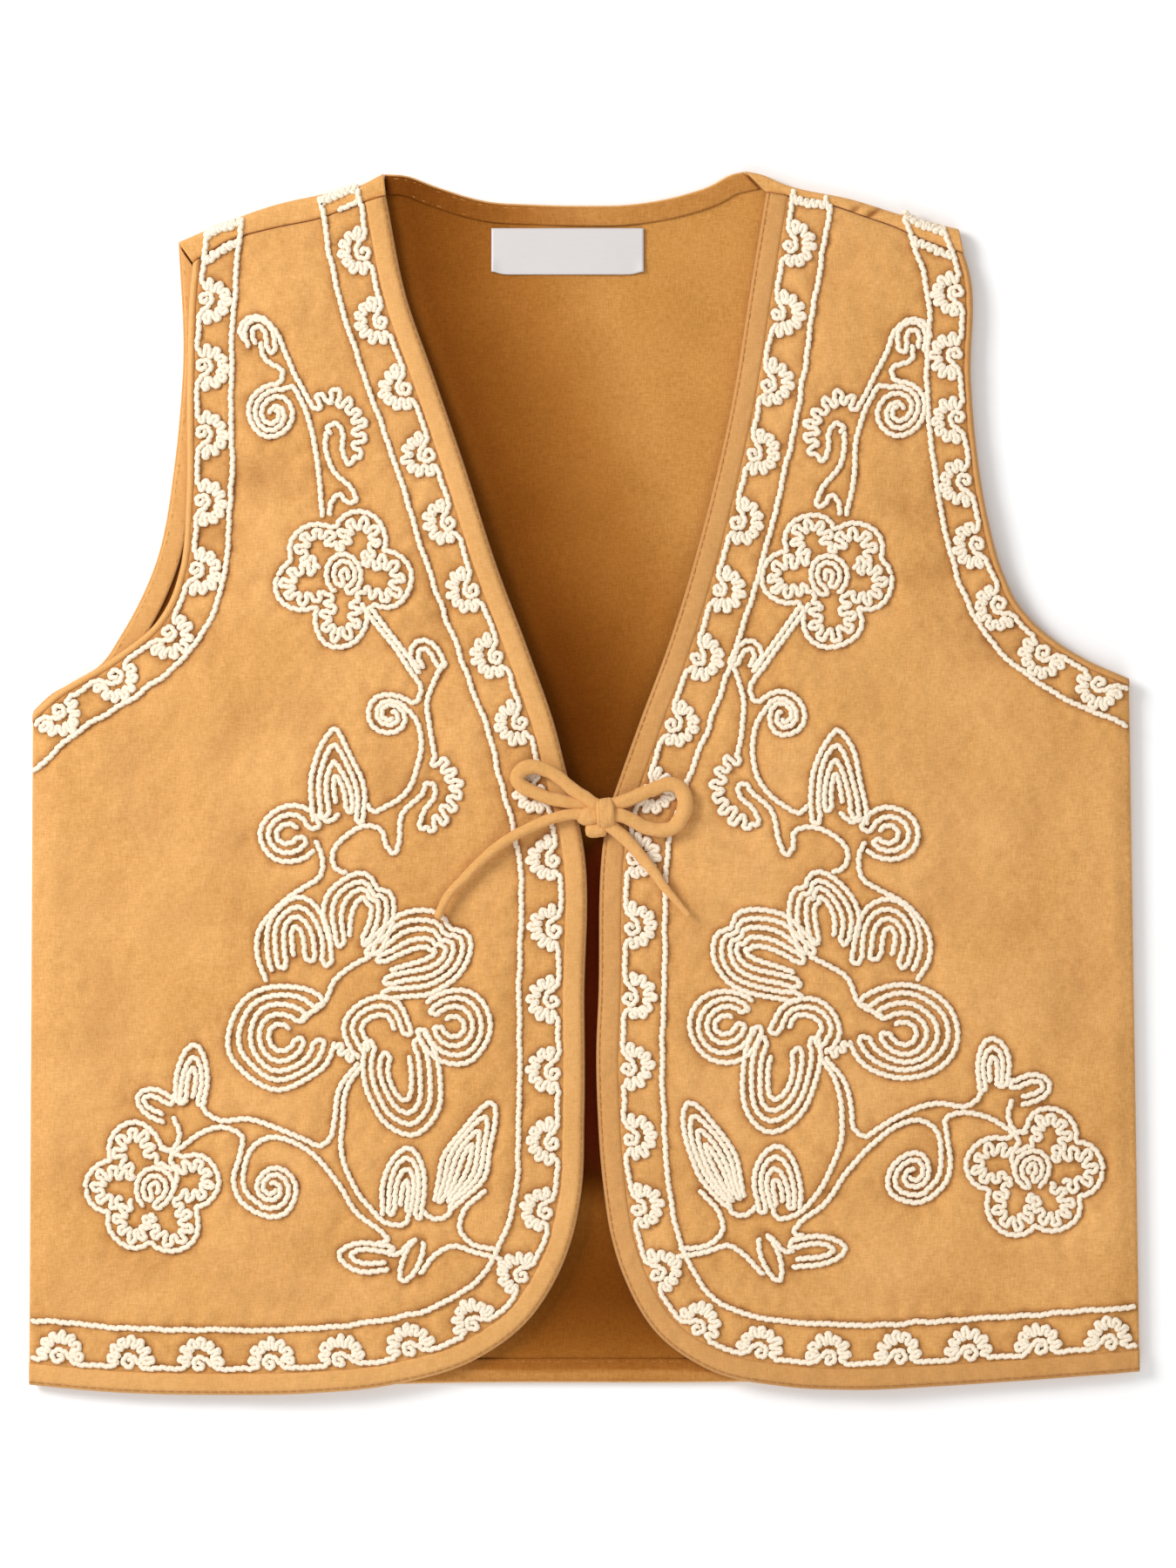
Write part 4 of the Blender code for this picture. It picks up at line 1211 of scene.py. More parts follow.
STROKES = (
    (Run(((104.6, 135.8), (106.2, 139.4), (104.0, 142.8), (99.8, 143.6), (96.5, 141.0), (92.3, 132.9),
          (87.0, 122.3), (84.3, 117.4))),
     Run(((84.3, 117.4), (77.8, 119.9), (72.9, 116.7), (70.0, 112.1), (69.2, 107.0), (70.6, 101.8)),
         2.0, 4.2),
     Run(((70.6, 101.8), (72.4, 99.2), (74.8, 103.6), (75.1, 108.6), (77.6, 111.8), (80.2, 109.8),
          (78.4, 108.2)))),
    (Run(((100.4, 136.8), (100.2, 132.4), (93.6, 128.0), (94.4, 125.2), (99.0, 123.8))),
     Coil(96.2, 115.0, 9.2, 1.95, 72.0)),
    (Coil(96.2, 115.0, 7.9, 1.30, 110.0, outwards=True),
     Run(((93.4, 122.4), (90.4, 122.8), (87.6, 119.0), (84.4, 108.0), (82.7, 95.0), (80.4, 82.6)))),
    (Run(((80.2, 109.0), (80.3, 103.6), (78.6, 97.6), (72.0, 90.6), (71.0, 86.6), (73.0, 86.4), (75.8, 89.4),
          (78.0, 87.2), (78.4, 82.8))),),
    (Run(((69.4, 55.6), (66.4, 52.0), (54.4, 35.6), (50.3, 28.6), (51.8, 24.8), (56.0, 26.8))),
     Coil(60.3, 20.4, 7.6, 1.75, 118.0)),
    (Run(((65.8, 54.6), (60.0, 46.0), (53.8, 38.3), (50.6, 35.2))),),
    (Run(((44.2, 37.4), (46.6, 31.6), (48.3, 26.2), (48.0, 18.4), (46.0, 8.2))),
     Run(((46.0, 8.2), (42.6, 5.0), (40.3, 1.0), (39.7, -3.4), (41.4, -8.0), (45.0, -11.6), (48.6, -13.2)),
         2.0, 4.0),
     Run(((48.6, -13.2), (50.9, -13.4), (50.2, -8.9), (46.6, -4.4), (46.8, -0.6), (49.4, -0.3), (50.2, -2.6),
          (56.2, -9.5), (57.2, -18.3), (59.1, -22.0), (60.8, -20.0), (61.6, -15.6), (66.0, -13.6),
          (73.1, -15.8), (77.6, -21.4), (76.4, -26.0), (73.0, -27.4)))),
    (Coil(60.3, 20.4, 5.4, 1.1, 128.0, outwards=True),
     Run(((56.8, 24.9), (52.1, 19.2), (50.6, 12.0), (53.2, 1.6), (60.4, -7.6), (64.6, -9.6), (67.4, -6.8)))),
    (Run(((83.6, -10.4), (80.4, -12.2), (76.9, -9.4))),),
    (Run(((83.6, -17.6), (81.2, -22.4), (82.0, -29.6), (86.7, -33.6), (96.0, -38.8), (101.6, -46.6),
          (101.0, -54.6), (98.0, -61.6))),),
    (Run(((88.0, -73.6), (81.4, -68.8), (77.8, -61.6), (71.4, -57.2), (65.6, -53.6))),),
    (Run(((77.0, -80.6), (74.6, -83.6), (70.5, -85.4)), 1.2, 2.6),),
    (Run(((69.9, -86.2), (75.7, -93.6), (78.6, -104.6), (79.4, -110.4), (81.8, -112.8), (86.0, -110.8),
          (96.0, -106.4), (105.0, -104.2), (113.6, -105.0), (117.4, -101.4), (117.0, -96.4))),),
    (Run(((68.3, -86.2), (72.9, -92.5), (75.6, -103.6), (75.6, -112.6), (71.8, -123.6), (66.0, -131.4),
          (60.0, -136.0), (55.4, -136.0), (53.8, -132.6))),),
    (Coil(96.8, -125.7, 6.8, 1.3, -61.0, outwards=True),
     Run(((100.6, -131.0), (104.6, -127.0), (105.9, -119.6), (103.4, -112.6), (98.0, -109.8), (91.4, -110.8),
          (84.2, -115.2), (77.3, -123.3), (70.1, -132.9), (62.0, -139.0), (60.6, -141.2), (64.0, -142.6)))),
    (Run(((128.0, -126.6), (126.6, -121.0), (128.2, -116.4), (124.0, -111.6), (117.6, -108.4),
          (111.4, -107.4),
          (106.6, -109.8), (107.0, -114.6), (108.8, -122.6), (106.9, -128.8), (102.4, -132.8))),
     Coil(96.8, -125.7, 9.0, 1.6, -80.0)),
    (Run(((127.4, -103.2), (125.6, -108.6), (127.8, -113.6), (131.6, -113.4))),),
    (Run(((127.2, -96.6), (124.6, -99.4), (121.8, -98.0))),),
    (Run(((49.2, -132.4), (46.4, -134.9), (42.6, -134.4), (40.2, -131.0))),),
    (Run(((31.8, -125.6), (38.4, -133.6), (39.2, -138.7), (35.9, -142.5), (25.7, -144.7))),),
    (Run(((51.4, -152.6), (49.9, -150.8), (46.4, -146.2), (41.8, -143.6), (33.8, -145.6), (24.8, -147.2))),),
    (Run(((61.2, -146.8), (57.8, -146.2), (54.8, -143.0), (52.4, -141.0))),),
)


def place_on_right(line: Points) -> Points:
    """Shift the left spray to where the right one lies: a little further out, and higher at the side.

    Args:
        line: A line of the left spray.

    Returns:
        The right spray's line.
    """
    out, y = line[:, 0], line[:, 1]
    low = smoothstep((10.0 - y) / 50.0)
    side = smoothstep((out - 30.0) / 90.0)
    lower = smoothstep((-60.0 - y) / 50.0)
    return np.stack((out + 1.0 + 4.4 * low * (0.6 + 0.4 * side), y + 5.4 * side * lower), axis=1)


# The border's repeat, along the base line and away from it: the hook, and the half ring's lead and tail
HOOK = (
    (-6.6, 0.0), (-5.2, 0.1), (-3.8, 0.7), (-2.6, 1.9), (-1.2, 3.3), (0.4, 3.8), (1.8, 3.2),
    (2.3, 1.8), (1.6, 0.4), (0.3, 0.1), (-0.5, 0.9), (-0.2, 1.9), (0.6, 2.2), (1.0, 1.6),
)
RING_LEAD = ((-2.9, 3.3), (-4.1, 2.4))
RING_TAIL = ((6.3, -0.1), (7.4, 0.0))


@dataclass(frozen=True)
class Border:
    """A corded border along an edge: a base line with its repeats, and a plain line on the far side.

    Attributes:
        edge: The edge that it follows.
        near: The base line's distance in.
        far: The plain line's distance in.
        starts: The seam where it starts.
        ends: The seam where it ends.
        count: How many repeats it has.
        first: The first repeat's distance from the start.
        last: The last one's distance from the end.
        base_cuts: The lines between which the base line runs.
        plain_cuts: The lines between which the plain line runs.
        hook_room: How far before a repeat's middle the base line stops.
        ring_room: How far past it the base line goes on.
    """

    edge: Points
    near: float
    far: float
    starts: Points
    ends: Points
    count: int
    first: float
    last: float
    base_cuts: tuple[Points, Points]
    plain_cuts: tuple[Points, Points]
    hook_room: float = 7.4
    ring_room: float = 8.0

    @staticmethod
    def half_ring() -> Points:
        """The lobed half ring, along the base line and away from it."""
        angle = np.radians(np.linspace(-7.0, 199.0, 80))
        ring = np.stack((-5.3 * np.cos(angle), 2.4 + 5.4 * np.sin(angle)), axis=1)
        return np.vstack((RING_LEAD, meander(ring, 1.4, 2.72, roundness=0.09), RING_TAIL))

    @staticmethod
    def lay(line: Points, centre: float, shape: Points) -> Points:
        """Bend a shape to a line.

        Args:
            line: The line, a point for each millimetre.
            centre: The shape's place along it.
            shape: Distances along the line and away from it.

        Returns:
            The shape on the plan.
        """
        turned = normals(line)
        base = np.array([at(line, centre + along) for along in shape[:, 0]])
        side = np.array([at(turned, centre + along) for along in shape[:, 0]])
        return base + side * shape[:, 1:]

    def lines(self) -> list[Points]:
        """Draw the border in sewing order: each hook ends a length, and each half ring begins the next.

        Returns:
            The plain line, then the base line's lengths.
        """
        lines = [between(beside(self.edge, self.far, LONG_LEAD), *self.plain_cuts)]
        base = resample(beside(self.edge, self.near, LONG_LEAD), 1.0)
        centres = np.linspace(crossings(base, self.starts)[0][0] + self.first,
                              crossings(base, self.ends)[-1][0] - self.last, self.count)
        begin, finish = crossings(base, self.base_cuts[0])[0][0], crossings(base, self.base_cuts[1])[-1][0]
        hook, ring = np.array(HOOK), self.half_ring()
        pending = [stretch(base, begin, centres[0] - self.hook_room + 0.2)]
        for centre, follows in zip(centres, (*(centres[1:] - self.hook_room), finish)):
            lines.append(smooth(np.vstack((*pending, self.lay(base, centre, hook))), 0.3))
            pending = [self.lay(base, centre, ring)]
            if follows > centre + self.ring_room + 0.2:
                pending.append(stretch(base, centre + self.ring_room, follows))
        lines.append(smooth(np.vstack(pending), 0.3))
        return lines


def tube_faces(stations: int, count: int, flip: bool) -> list:
    """Faces of a capped tube of sections.

    Args:
        stations: How many sections it has.
        count: How many points a section has.
        flip: Whether the sections run clockwise.

    Returns:
        The faces, turned outwards.
    """
    station = np.arange(stations - 1)[:, None] * count
    index = np.arange(count)[None, :]
    follow = (index + 1) % count
    quads = np.stack((station + index, station + count + index, station + count + follow,
                      station + follow), axis=2).reshape(-1, 4)
    faces = [tuple(quad) for quad in quads.tolist()]
    faces.append(tuple(range(count)))
    faces.append(tuple(range(stations * count - 1, (stations - 1) * count - 1, -1)))
    return [face[::-1] for face in faces] if flip else faces


def gather(parts: Sequence[tuple[Points, list]]) -> tuple[Points, list]:
    """Join the points and faces of several forms.

    Args:
        parts: Each form's points and faces.

    Returns:
        All the points and all the faces.
    """
    faces, count = [], 0
    for points, sides in parts:
        faces.extend(tuple(count + corner for corner in side) for side in sides)
        count += len(points)
    return np.vstack([points for points, _ in parts]), faces


@dataclass
class Embroidery:
    """The cord embroidery of one front.

    Attributes:
        front: The front that it is sewn on.
        twist: The length of one twist of the cord.
        border_station: The distance between a border cord's sections.
        spray_station: The same in the spray.
        section: The cord's section, as distances across and up.
    """

    front: Front
    twist: float = 2.5
    border_station: float = 0.36
    spray_station: float = 0.42
    section: tuple[tuple[float, float], ...] = (
        (-0.80, -0.25), (-0.80, 0.45), (-0.40, 1.02), (0.40, 1.02), (0.80, 0.45), (0.80, -0.25))

    def __post_init__(self) -> None:
        """Draw every line of the front's embroidery."""
        self.border = [self.waver(line, 9.0, 0.20) for line in self.draw_borders()]
        self.spray = [self.waver(line, 24.0, 0.55) for line in self.draw_spray()]
        self.front.cords.extend(self.border + self.spray)

    def waver(self, line: Points, wavelength: float, depth: float) -> Points:
        """Let a line stray as a hand's does, and its neighbours with it.

        Args:
            line: The line.
            wavelength: How long the strays are.
            depth: How far they go.

        Returns:
            The uneven line.
        """
        seed = 51 if self.front.sign < 0 else 61
        x, y = line[:, 0], line[:, 1]
        strays = [Ripple(seed + axis, wavelength, depth)(x, y)
                  + Ripple(seed + axis + 5, wavelength * 0.45, depth * 0.15)(x, y) for axis in (0, 1)]
        return line + np.stack(strays, axis=1)

    def draw_borders(self) -> list[Points]:
        """Draw the borders along the front edge, the hem and the armhole.

        Returns:
            Their lines, and the short rows that close them.
        """
        front = self.front
        seam, side = extend(front.seam), extend(front.side)
        top, end = beside(front.fold, -0.5), offset(side, 0.6)
        plain_top, lines = top, []
        if front.sign > 0:
            plain_top, lines = seam, [between(beside(front.edge, BORDER_FAR - 1.8), top, seam)]
        wide = Border(front.edge, BORDER_NEAR, BORDER_FAR, seam, side, 23, 14.5, 9.5, (top, end),
                      (plain_top, end))
        narrow = Border(front.armhole, ARMHOLE_NEAR, ARMHOLE_FAR, side, seam, 8, 9.0, 14.0, (end, top),
                        (end, top))
        return lines + wide.lines() + narrow.lines() + self.seam_rows()

    def seam_rows(self) -> list[Points]:
        """Draw the short rows across the borders at the forward seam.

        Returns:
            The rows.
        """
        front = self.front
        edge_rows = ((-4.9, 0.85, 1.0), (-0.5, 0.0, 0.6)) if front.sign < 0 else ((0.9, 0.75, 1.0),)
        armhole_rows = ((1.6, 0.75, 1.0), (-4.4, 0.75, 1.0))
        lines = []
        for edge, reaches, pick, rows in (
            (front.edge, (BORDER_NEAR, BORDER_FAR), 0, edge_rows),
            (front.armhole, (ARMHOLE_NEAR, ARMHOLE_FAR), -1, armhole_rows),
        ):
            for distance, swing, share in rows:
                along = beside(front.seam, distance)
                low, high = sorted(crossings(beside(edge, reach, LONG_LEAD), along)[pick][1]
                                   for reach in reaches)
                path = resample(stretch(along, high - share * (high - low), high), 0.5)
                lines.append(meander(path, swing, 2.1, roundness=0.105) if swing else path)
        return lines

    def draw_spray(self) -> list[Points]:
        """Draw the flowers, leaves, curls and stems.

        Returns:
            Their lines.
        """
        lines = [petal.line() for petal in PETALS]
        for flower in SMALL_FLOWERS:
            lines.extend(flower.lines())
        lines.extend(np.vstack([step.line() for step in stroke]) for stroke in STROKES)
        return lines if self.front.sign < 0 else [place_on_right(line) for line in lines]

    def cord(self, line: Points, seed: int, station: float) -> tuple[Points, list, np.ndarray]:
        """Give a line the body of a looped cord that lies on the cloth.

        Args:
            line: The line on the front's plan.
            seed: Seeds the hand's small unevenness.
            station: The distance between the body's sections.

        Returns:
            Points, faces and painted shade.
        """
        line = resample(line, station)
        rng = np.random.default_rng(seed)
        run = np.arange(len(line)) * station
        drift = 0.10 * np.sin(run / 3.9 + rng.uniform(0, 6)) + 0.08 * np.sin(run / 7.3 + rng.uniform(0, 6))
        beat = 2.0 * math.pi * run / self.twist + rng.uniform(0.0, 6.0)
        line = line + normals(line) * (drift + 0.17 * np.sin(beat))[:, None]
        side = normals(line)
        height = self.front.top(line[:, 0], line[:, 1])
        lean = 0.10 * np.cos(beat)
        ends = np.minimum(1.0, np.minimum(run, run[::-1]) / 0.8 + 0.35)
        rings = []
        for across, lift in self.section:
            swell = 1.0 + 0.12 * np.cos(2.0 * beat + 1.3 * across)
            shift = (across * swell + lean * max(lift, 0.0)) * ends
            place = line + side * shift[:, None]
            rings.append(np.column_stack((place[:, 0] * self.front.sign, place[:, 1], height + lift * ends)))
        # Painted shade on the cord's lower sides, and painted shade at the pinches between its twists
        low = np.array([0.85, 0.30, 0.0, 0.0, 0.30, 0.85])
        painted_pinch_shade = (0.35 * np.clip(-np.cos(2.0 * beat), 0.0, 1.0)[:, None]
                 * np.array([1.0, 1.0, 0.6, 0.6, 1.0, 1.0]))
        return (np.stack(rings, axis=1).reshape(-1, 3),
                tube_faces(len(line), len(self.section), self.front.sign < 0), (low + painted_pinch_shade).reshape(-1))

    def sew(self, room: Workroom) -> list[bpy.types.Object]:
        """Make the border and the spray, each one piece of many cords.

        Args:
            room: Makes the pieces.

        Returns:
            The two pieces.
        """
        made = []
        for title, lines, station, kinds in (
            ("border_embroidery_", self.border, self.border_station,
             ("border_near_", "border_far_", "armhole_border_")),
            ("spray_embroidery_", self.spray, self.spray_station,
             ("bloom_", "upper_flower_", "side_flower_", "upper_stem_", "middle_stem_", "lower_stem_",
              "side_stem_")),
        ):
            cords = [self.cord(line, index + 7, station) for index, line in enumerate(lines)]
            points, faces = gather([cord[:2] for cord in cords])
            shade = np.concatenate([cord[2] for cord in cords])
            made.append(room.piece(title + self.front.name, points, faces, CORD, Slot.EMBROIDERY,
                                   [kind + self.front.name for kind in kinds], shade))
        return made


@dataclass
class FrontCloth:
    """The cloth of one front, puffed between its stitches.

    Attributes:
        front: The front.
        grid: The distance between the face's points.
        under_grid: The same on the underside.
        puff: How high the cloth puffs between the cords.
        dip: How deep the cords press in.
    """

    front: Front
    grid: float = 1.25
    under_grid: float = 9.0
    puff: float = 0.60
    dip: float = 0.28

    def make(self, room: Workroom) -> bpy.types.Object:
        """Build the panel: a fine face, a rolled rim and a plain underside.

        Args:
            room: Makes the piece.

        Returns:
            The piece.
        """
        front = self.front
        outline = enclose((beside(front.edge, BAND_WIDTH - 0.9), extend(front.side),
                           beside(front.armhole, ARMHOLE_BAND_WIDTH - 0.5),
                           beside(front.seam, SEAM_HALF_GAP)), 1.5)
        ring = inset_ring(outline, 0.55)
        flanks = [resample(offset(line, side * 1.2), 1.1) for line in front.cords for side in (-1.0, 1.0)]
        flanks = np.unique(np.round(np.vstack(flanks) / 0.6), axis=0) * 0.6
        plan, triangles = fill(ring, self.grid, flanks)
        under, under_triangles = fill(ring, self.under_grid)
        height, shade = self.relief(plan, outline)
        rim = np.column_stack((outline, front_floor(outline[:, 0], outline[:, 1]) + CLOTH * 0.62))
        low = np.column_stack((under, front_floor(under[:, 0], under[:, 1])))
        points = np.vstack((rim, np.column_stack((plan, height)), low))
        points[:, 0] *= front.sign
        count, base = len(outline), len(outline) + len(plan)
        faces = [tuple(count + corner for corner in triangle) for triangle in triangles]
        faces += [tuple(base + corner for corner in triangle[::-1]) for triangle in under_triangles]
        for index in range(count):
            follow = (index + 1) % count
            faces.append((index, follow, count + follow, count + index))
            faces.append((follow, index, base + index, base + follow))
        if front.sign < 0:
            faces = [side[::-1] for side in faces]
        shades = np.concatenate((np.zeros(count), shade, np.zeros(len(under))))
        return room.piece("front_cloth_" + front.name, points, faces, SHELL, Slot.SHELL,
                          ["front_" + front.name], shades)

    def relief(self, plan: Points, outline: Points) -> tuple[np.ndarray, np.ndarray]:
        """Work out how the face lies, with its puffing, puckers and folds.

        Args:
            plan: The face's points.
            outline: The panel's outline.

        Returns:
            Height and painted shade at each point.
        """
        x, y = plan[:, 0], plan[:, 1]
        gap = nearest(plan, np.vstack([resample(line, 0.5) for line in self.front.cords]))
        edge_gap = nearest(plan, outline)
        pillow = self.puff * (1.0 - np.exp(-(gap / 4.2) ** 2)) * smoothstep(edge_gap / 6.0)
        dip = self.dip * np.exp(-(gap / 1.3) ** 2)
        pucker = Ripple(31, 6.4, 0.27)(x, y) * (0.40 + 0.60 * np.exp(-(gap / 6.0) ** 2))
        sway = self.front.lie(x, y)
        height = front_floor(x, y) + CLOTH + sway + (pillow - dip + pucker) * smoothstep(edge_gap / 3.0)
        # Painted shadow beside the cords, painted shade in the troughs and puckers, and a random tone
        shade = 0.85 * np.exp(-(gap / 1.45) ** 2) + 0.22 * np.clip(-sway, 0.0, 1.4)
        shade = shade + np.clip(Ripple(33, 24.0, 0.05)(x, y) + 0.03, 0.0, 1.0)
        return height, shade + 0.12 * np.clip(-pucker / 0.3, 0.0, 1.0)


def strip(edge: Points, distances: Sequence[float], starts: Points, ends: Points, step: float = 1.1,
          fade: float = 14.0) -> tuple[np.ndarray, np.ndarray]:
    """Lay columns of points along an edge, cut to the two lines that they meet.

    Args:
        edge: The edge, a point for each millimetre.
        distances: How far in from the edge each column lies.
        starts: The line where the strip starts.
        ends: The line where it ends.
        step: The distance between stations.
        fade: How far from an end the stations lean to its line.

    Returns:
        Plan points, a row of columns for each station, and each station's run along the edge.
    """
    cuts = []
    for distance in distances:
        moved = offset(edge, distance)
        cuts.append((moved, crossings(moved, starts)[0][0], crossings(moved, ends)[-1][0]))
    first, last = cuts[0][1:]
    stations = np.linspace(first, last, max(2, round((last - first) / step) + 1))
    plan = np.zeros((len(stations), len(cuts), 2))
    head = np.maximum(0.0, 1.0 - (stations - first) / fade)
    tail = np.maximum(0.0, 1.0 - (last - stations) / fade)
    for index, (moved, begin, finish) in enumerate(cuts):
        places = stations + (begin - first) * head + (finish - last) * tail
        for axis in (0, 1):
            plan[:, index, axis] = np.interp(places, np.arange(len(moved)), moved[:, axis])
    return plan, stations - first


@dataclass
class Band:
    """A bound edge: folded cloth with crosswise wrinkles between its stitch lines.

    Attributes:
        front: The front that it binds.
        name: The solid's name, without its side.
        width: Its width.
        edge: The edge that it binds, run on past both ends.
        starts: The line where it starts.
        ends: The line where it ends.
        stitches: The distances in of its stitch lines.
        groove: How deep the stitches pull it in.
        shadow: How dark the right one is, which turns from the light.
    """

    front: Front
    name: str
    width: float
    edge: Points
    starts: Points
    ends: Points
    stitches: tuple[float, ...]
    groove: float = 0.34
    shadow: float = 0.26

    def section(self) -> list[tuple[float, float]]:
        """The section: the face from the outer edge inwards, then the underside.

        Returns:
            A distance in and a height for each of its points.
        """
        face = []
        for share in np.linspace(0.0, 1.0, 15 if self.width > 4.0 else 9):
            distance = share * self.width
            shoulder = min(1.0, distance / 1.0, (self.width - distance) / 0.9)
            height = BAND_THICKNESS * (0.45 + 0.55 * math.sin(shoulder * math.pi / 2.0))
            height += 0.3 * math.sin(math.pi * share)
            for stitch in self.stitches:
                height -= self.groove * math.exp(-((distance - stitch) / 0.45) ** 2)
            face.append((distance, height))
        return face + [(self.width - 0.8, 0.0), (0.8, 0.0)]

    def make(self, room: Workroom) -> bpy.types.Object:
        """Build the band.

        Args:
            room: Makes the piece.

        Returns:
            The piece.
        """
        front, columns = self.front, self.section()
        plan, run = strip(self.edge, [distance for distance, _ in columns], self.starts, self.ends)
        seed = 41 if front.sign < 0 else 44
        # Painted shadow on the right band, which turns from the light, and painted shade in the stitch
        # grooves
        dark = self.shadow if front.sign > 0 else 0.0
        rows, shades = [], []
        for index, (distance, height) in enumerate(columns):
            out, y = plan[:, index, 0], plan[:, index, 1]
            level, shade = front_floor(out, y) + height, 0.0
            if height > 0.2:
                lean = run + 0.35 * distance
                wrinkle = Ripple(seed, 7.0, 0.15)(lean, np.full(len(run), distance * 0.35))
                wrinkle = wrinkle + Ripple(seed + 1, 3.4, 0.07)(lean, np.full(len(run), distance * 0.5))
                swell = math.sin(math.pi * min(distance / self.width, 1.0))
                level = level + front.lie(out, y) + wrinkle * swell
                shade = dark + 0.36 * sum(math.exp(-((distance - stitch) / 0.4) ** 2)
                                          for stitch in self.stitches)
            rows.append(np.column_stack((out * front.sign, y, level)))
            shades.append(shade)
        points = np.stack(rows, axis=1).reshape(-1, 3)
        faces = tube_faces(len(run), len(columns), front.sign > 0)
        return room.piece(self.name + front.name + "_cloth", points, faces, BINDING, Slot.BINDING,
                          [self.name + front.name], np.tile(np.array(shades), len(run)))


@dataclass
class Stitching:
    """Rows of machine stitches, gathered into one piece.

    Attributes:
        length: The length of a stitch.
        pitch: The distance from one stitch to the next.
        section: A stitch's section, as distances across and up.
        shares: Each section's place along the stitch, its size, and its rise.
        stitches: The points and faces of each stitch.
    """

    length: float = 2.1
    pitch: float = 2.7
    section: tuple[tuple[float, float], ...] = ((-0.13, 0.0), (-0.08, 0.11), (0.08, 0.11), (0.13, 0.0))
    shares: tuple[tuple[float, float, float], ...] = (
        (-0.5, 0.2, -0.12), (-0.3, 1.0, 0.0), (0.3, 1.0, 0.0), (0.5, 0.2, -0.12))
    stitches: list[tuple[Points, list]] = field(default_factory=list)

    def row(self, line: Points, height: Callable, sign: float) -> None:
        """Sew a row.

        Args:
            line: The row's line on the plan.
            height: Gives the cloth's height at plan points.
            sign: The side of the plan.
        """
        line = resample(line, self.pitch)
        heading = np.gradient(line, axis=0)
        heading = heading / np.linalg.norm(heading, axis=1)[:, None]
        faces = tube_faces(len(self.shares), len(self.section), sign < 0)
        for place, along in zip(line, heading):
            block = []
            for share, size, rise in self.shares:
                centre = place + along * share * self.length
                level = float(np.ravel(height(centre[:1], centre[1:]))[0])
                for across, lift in self.section:
                    out = centre[0] - along[1] * across * size
                    y = centre[1] + along[0] * across * size
                    block.append((out * sign, y, level + lift * size + rise))
            self.stitches.append((np.array(block), faces))


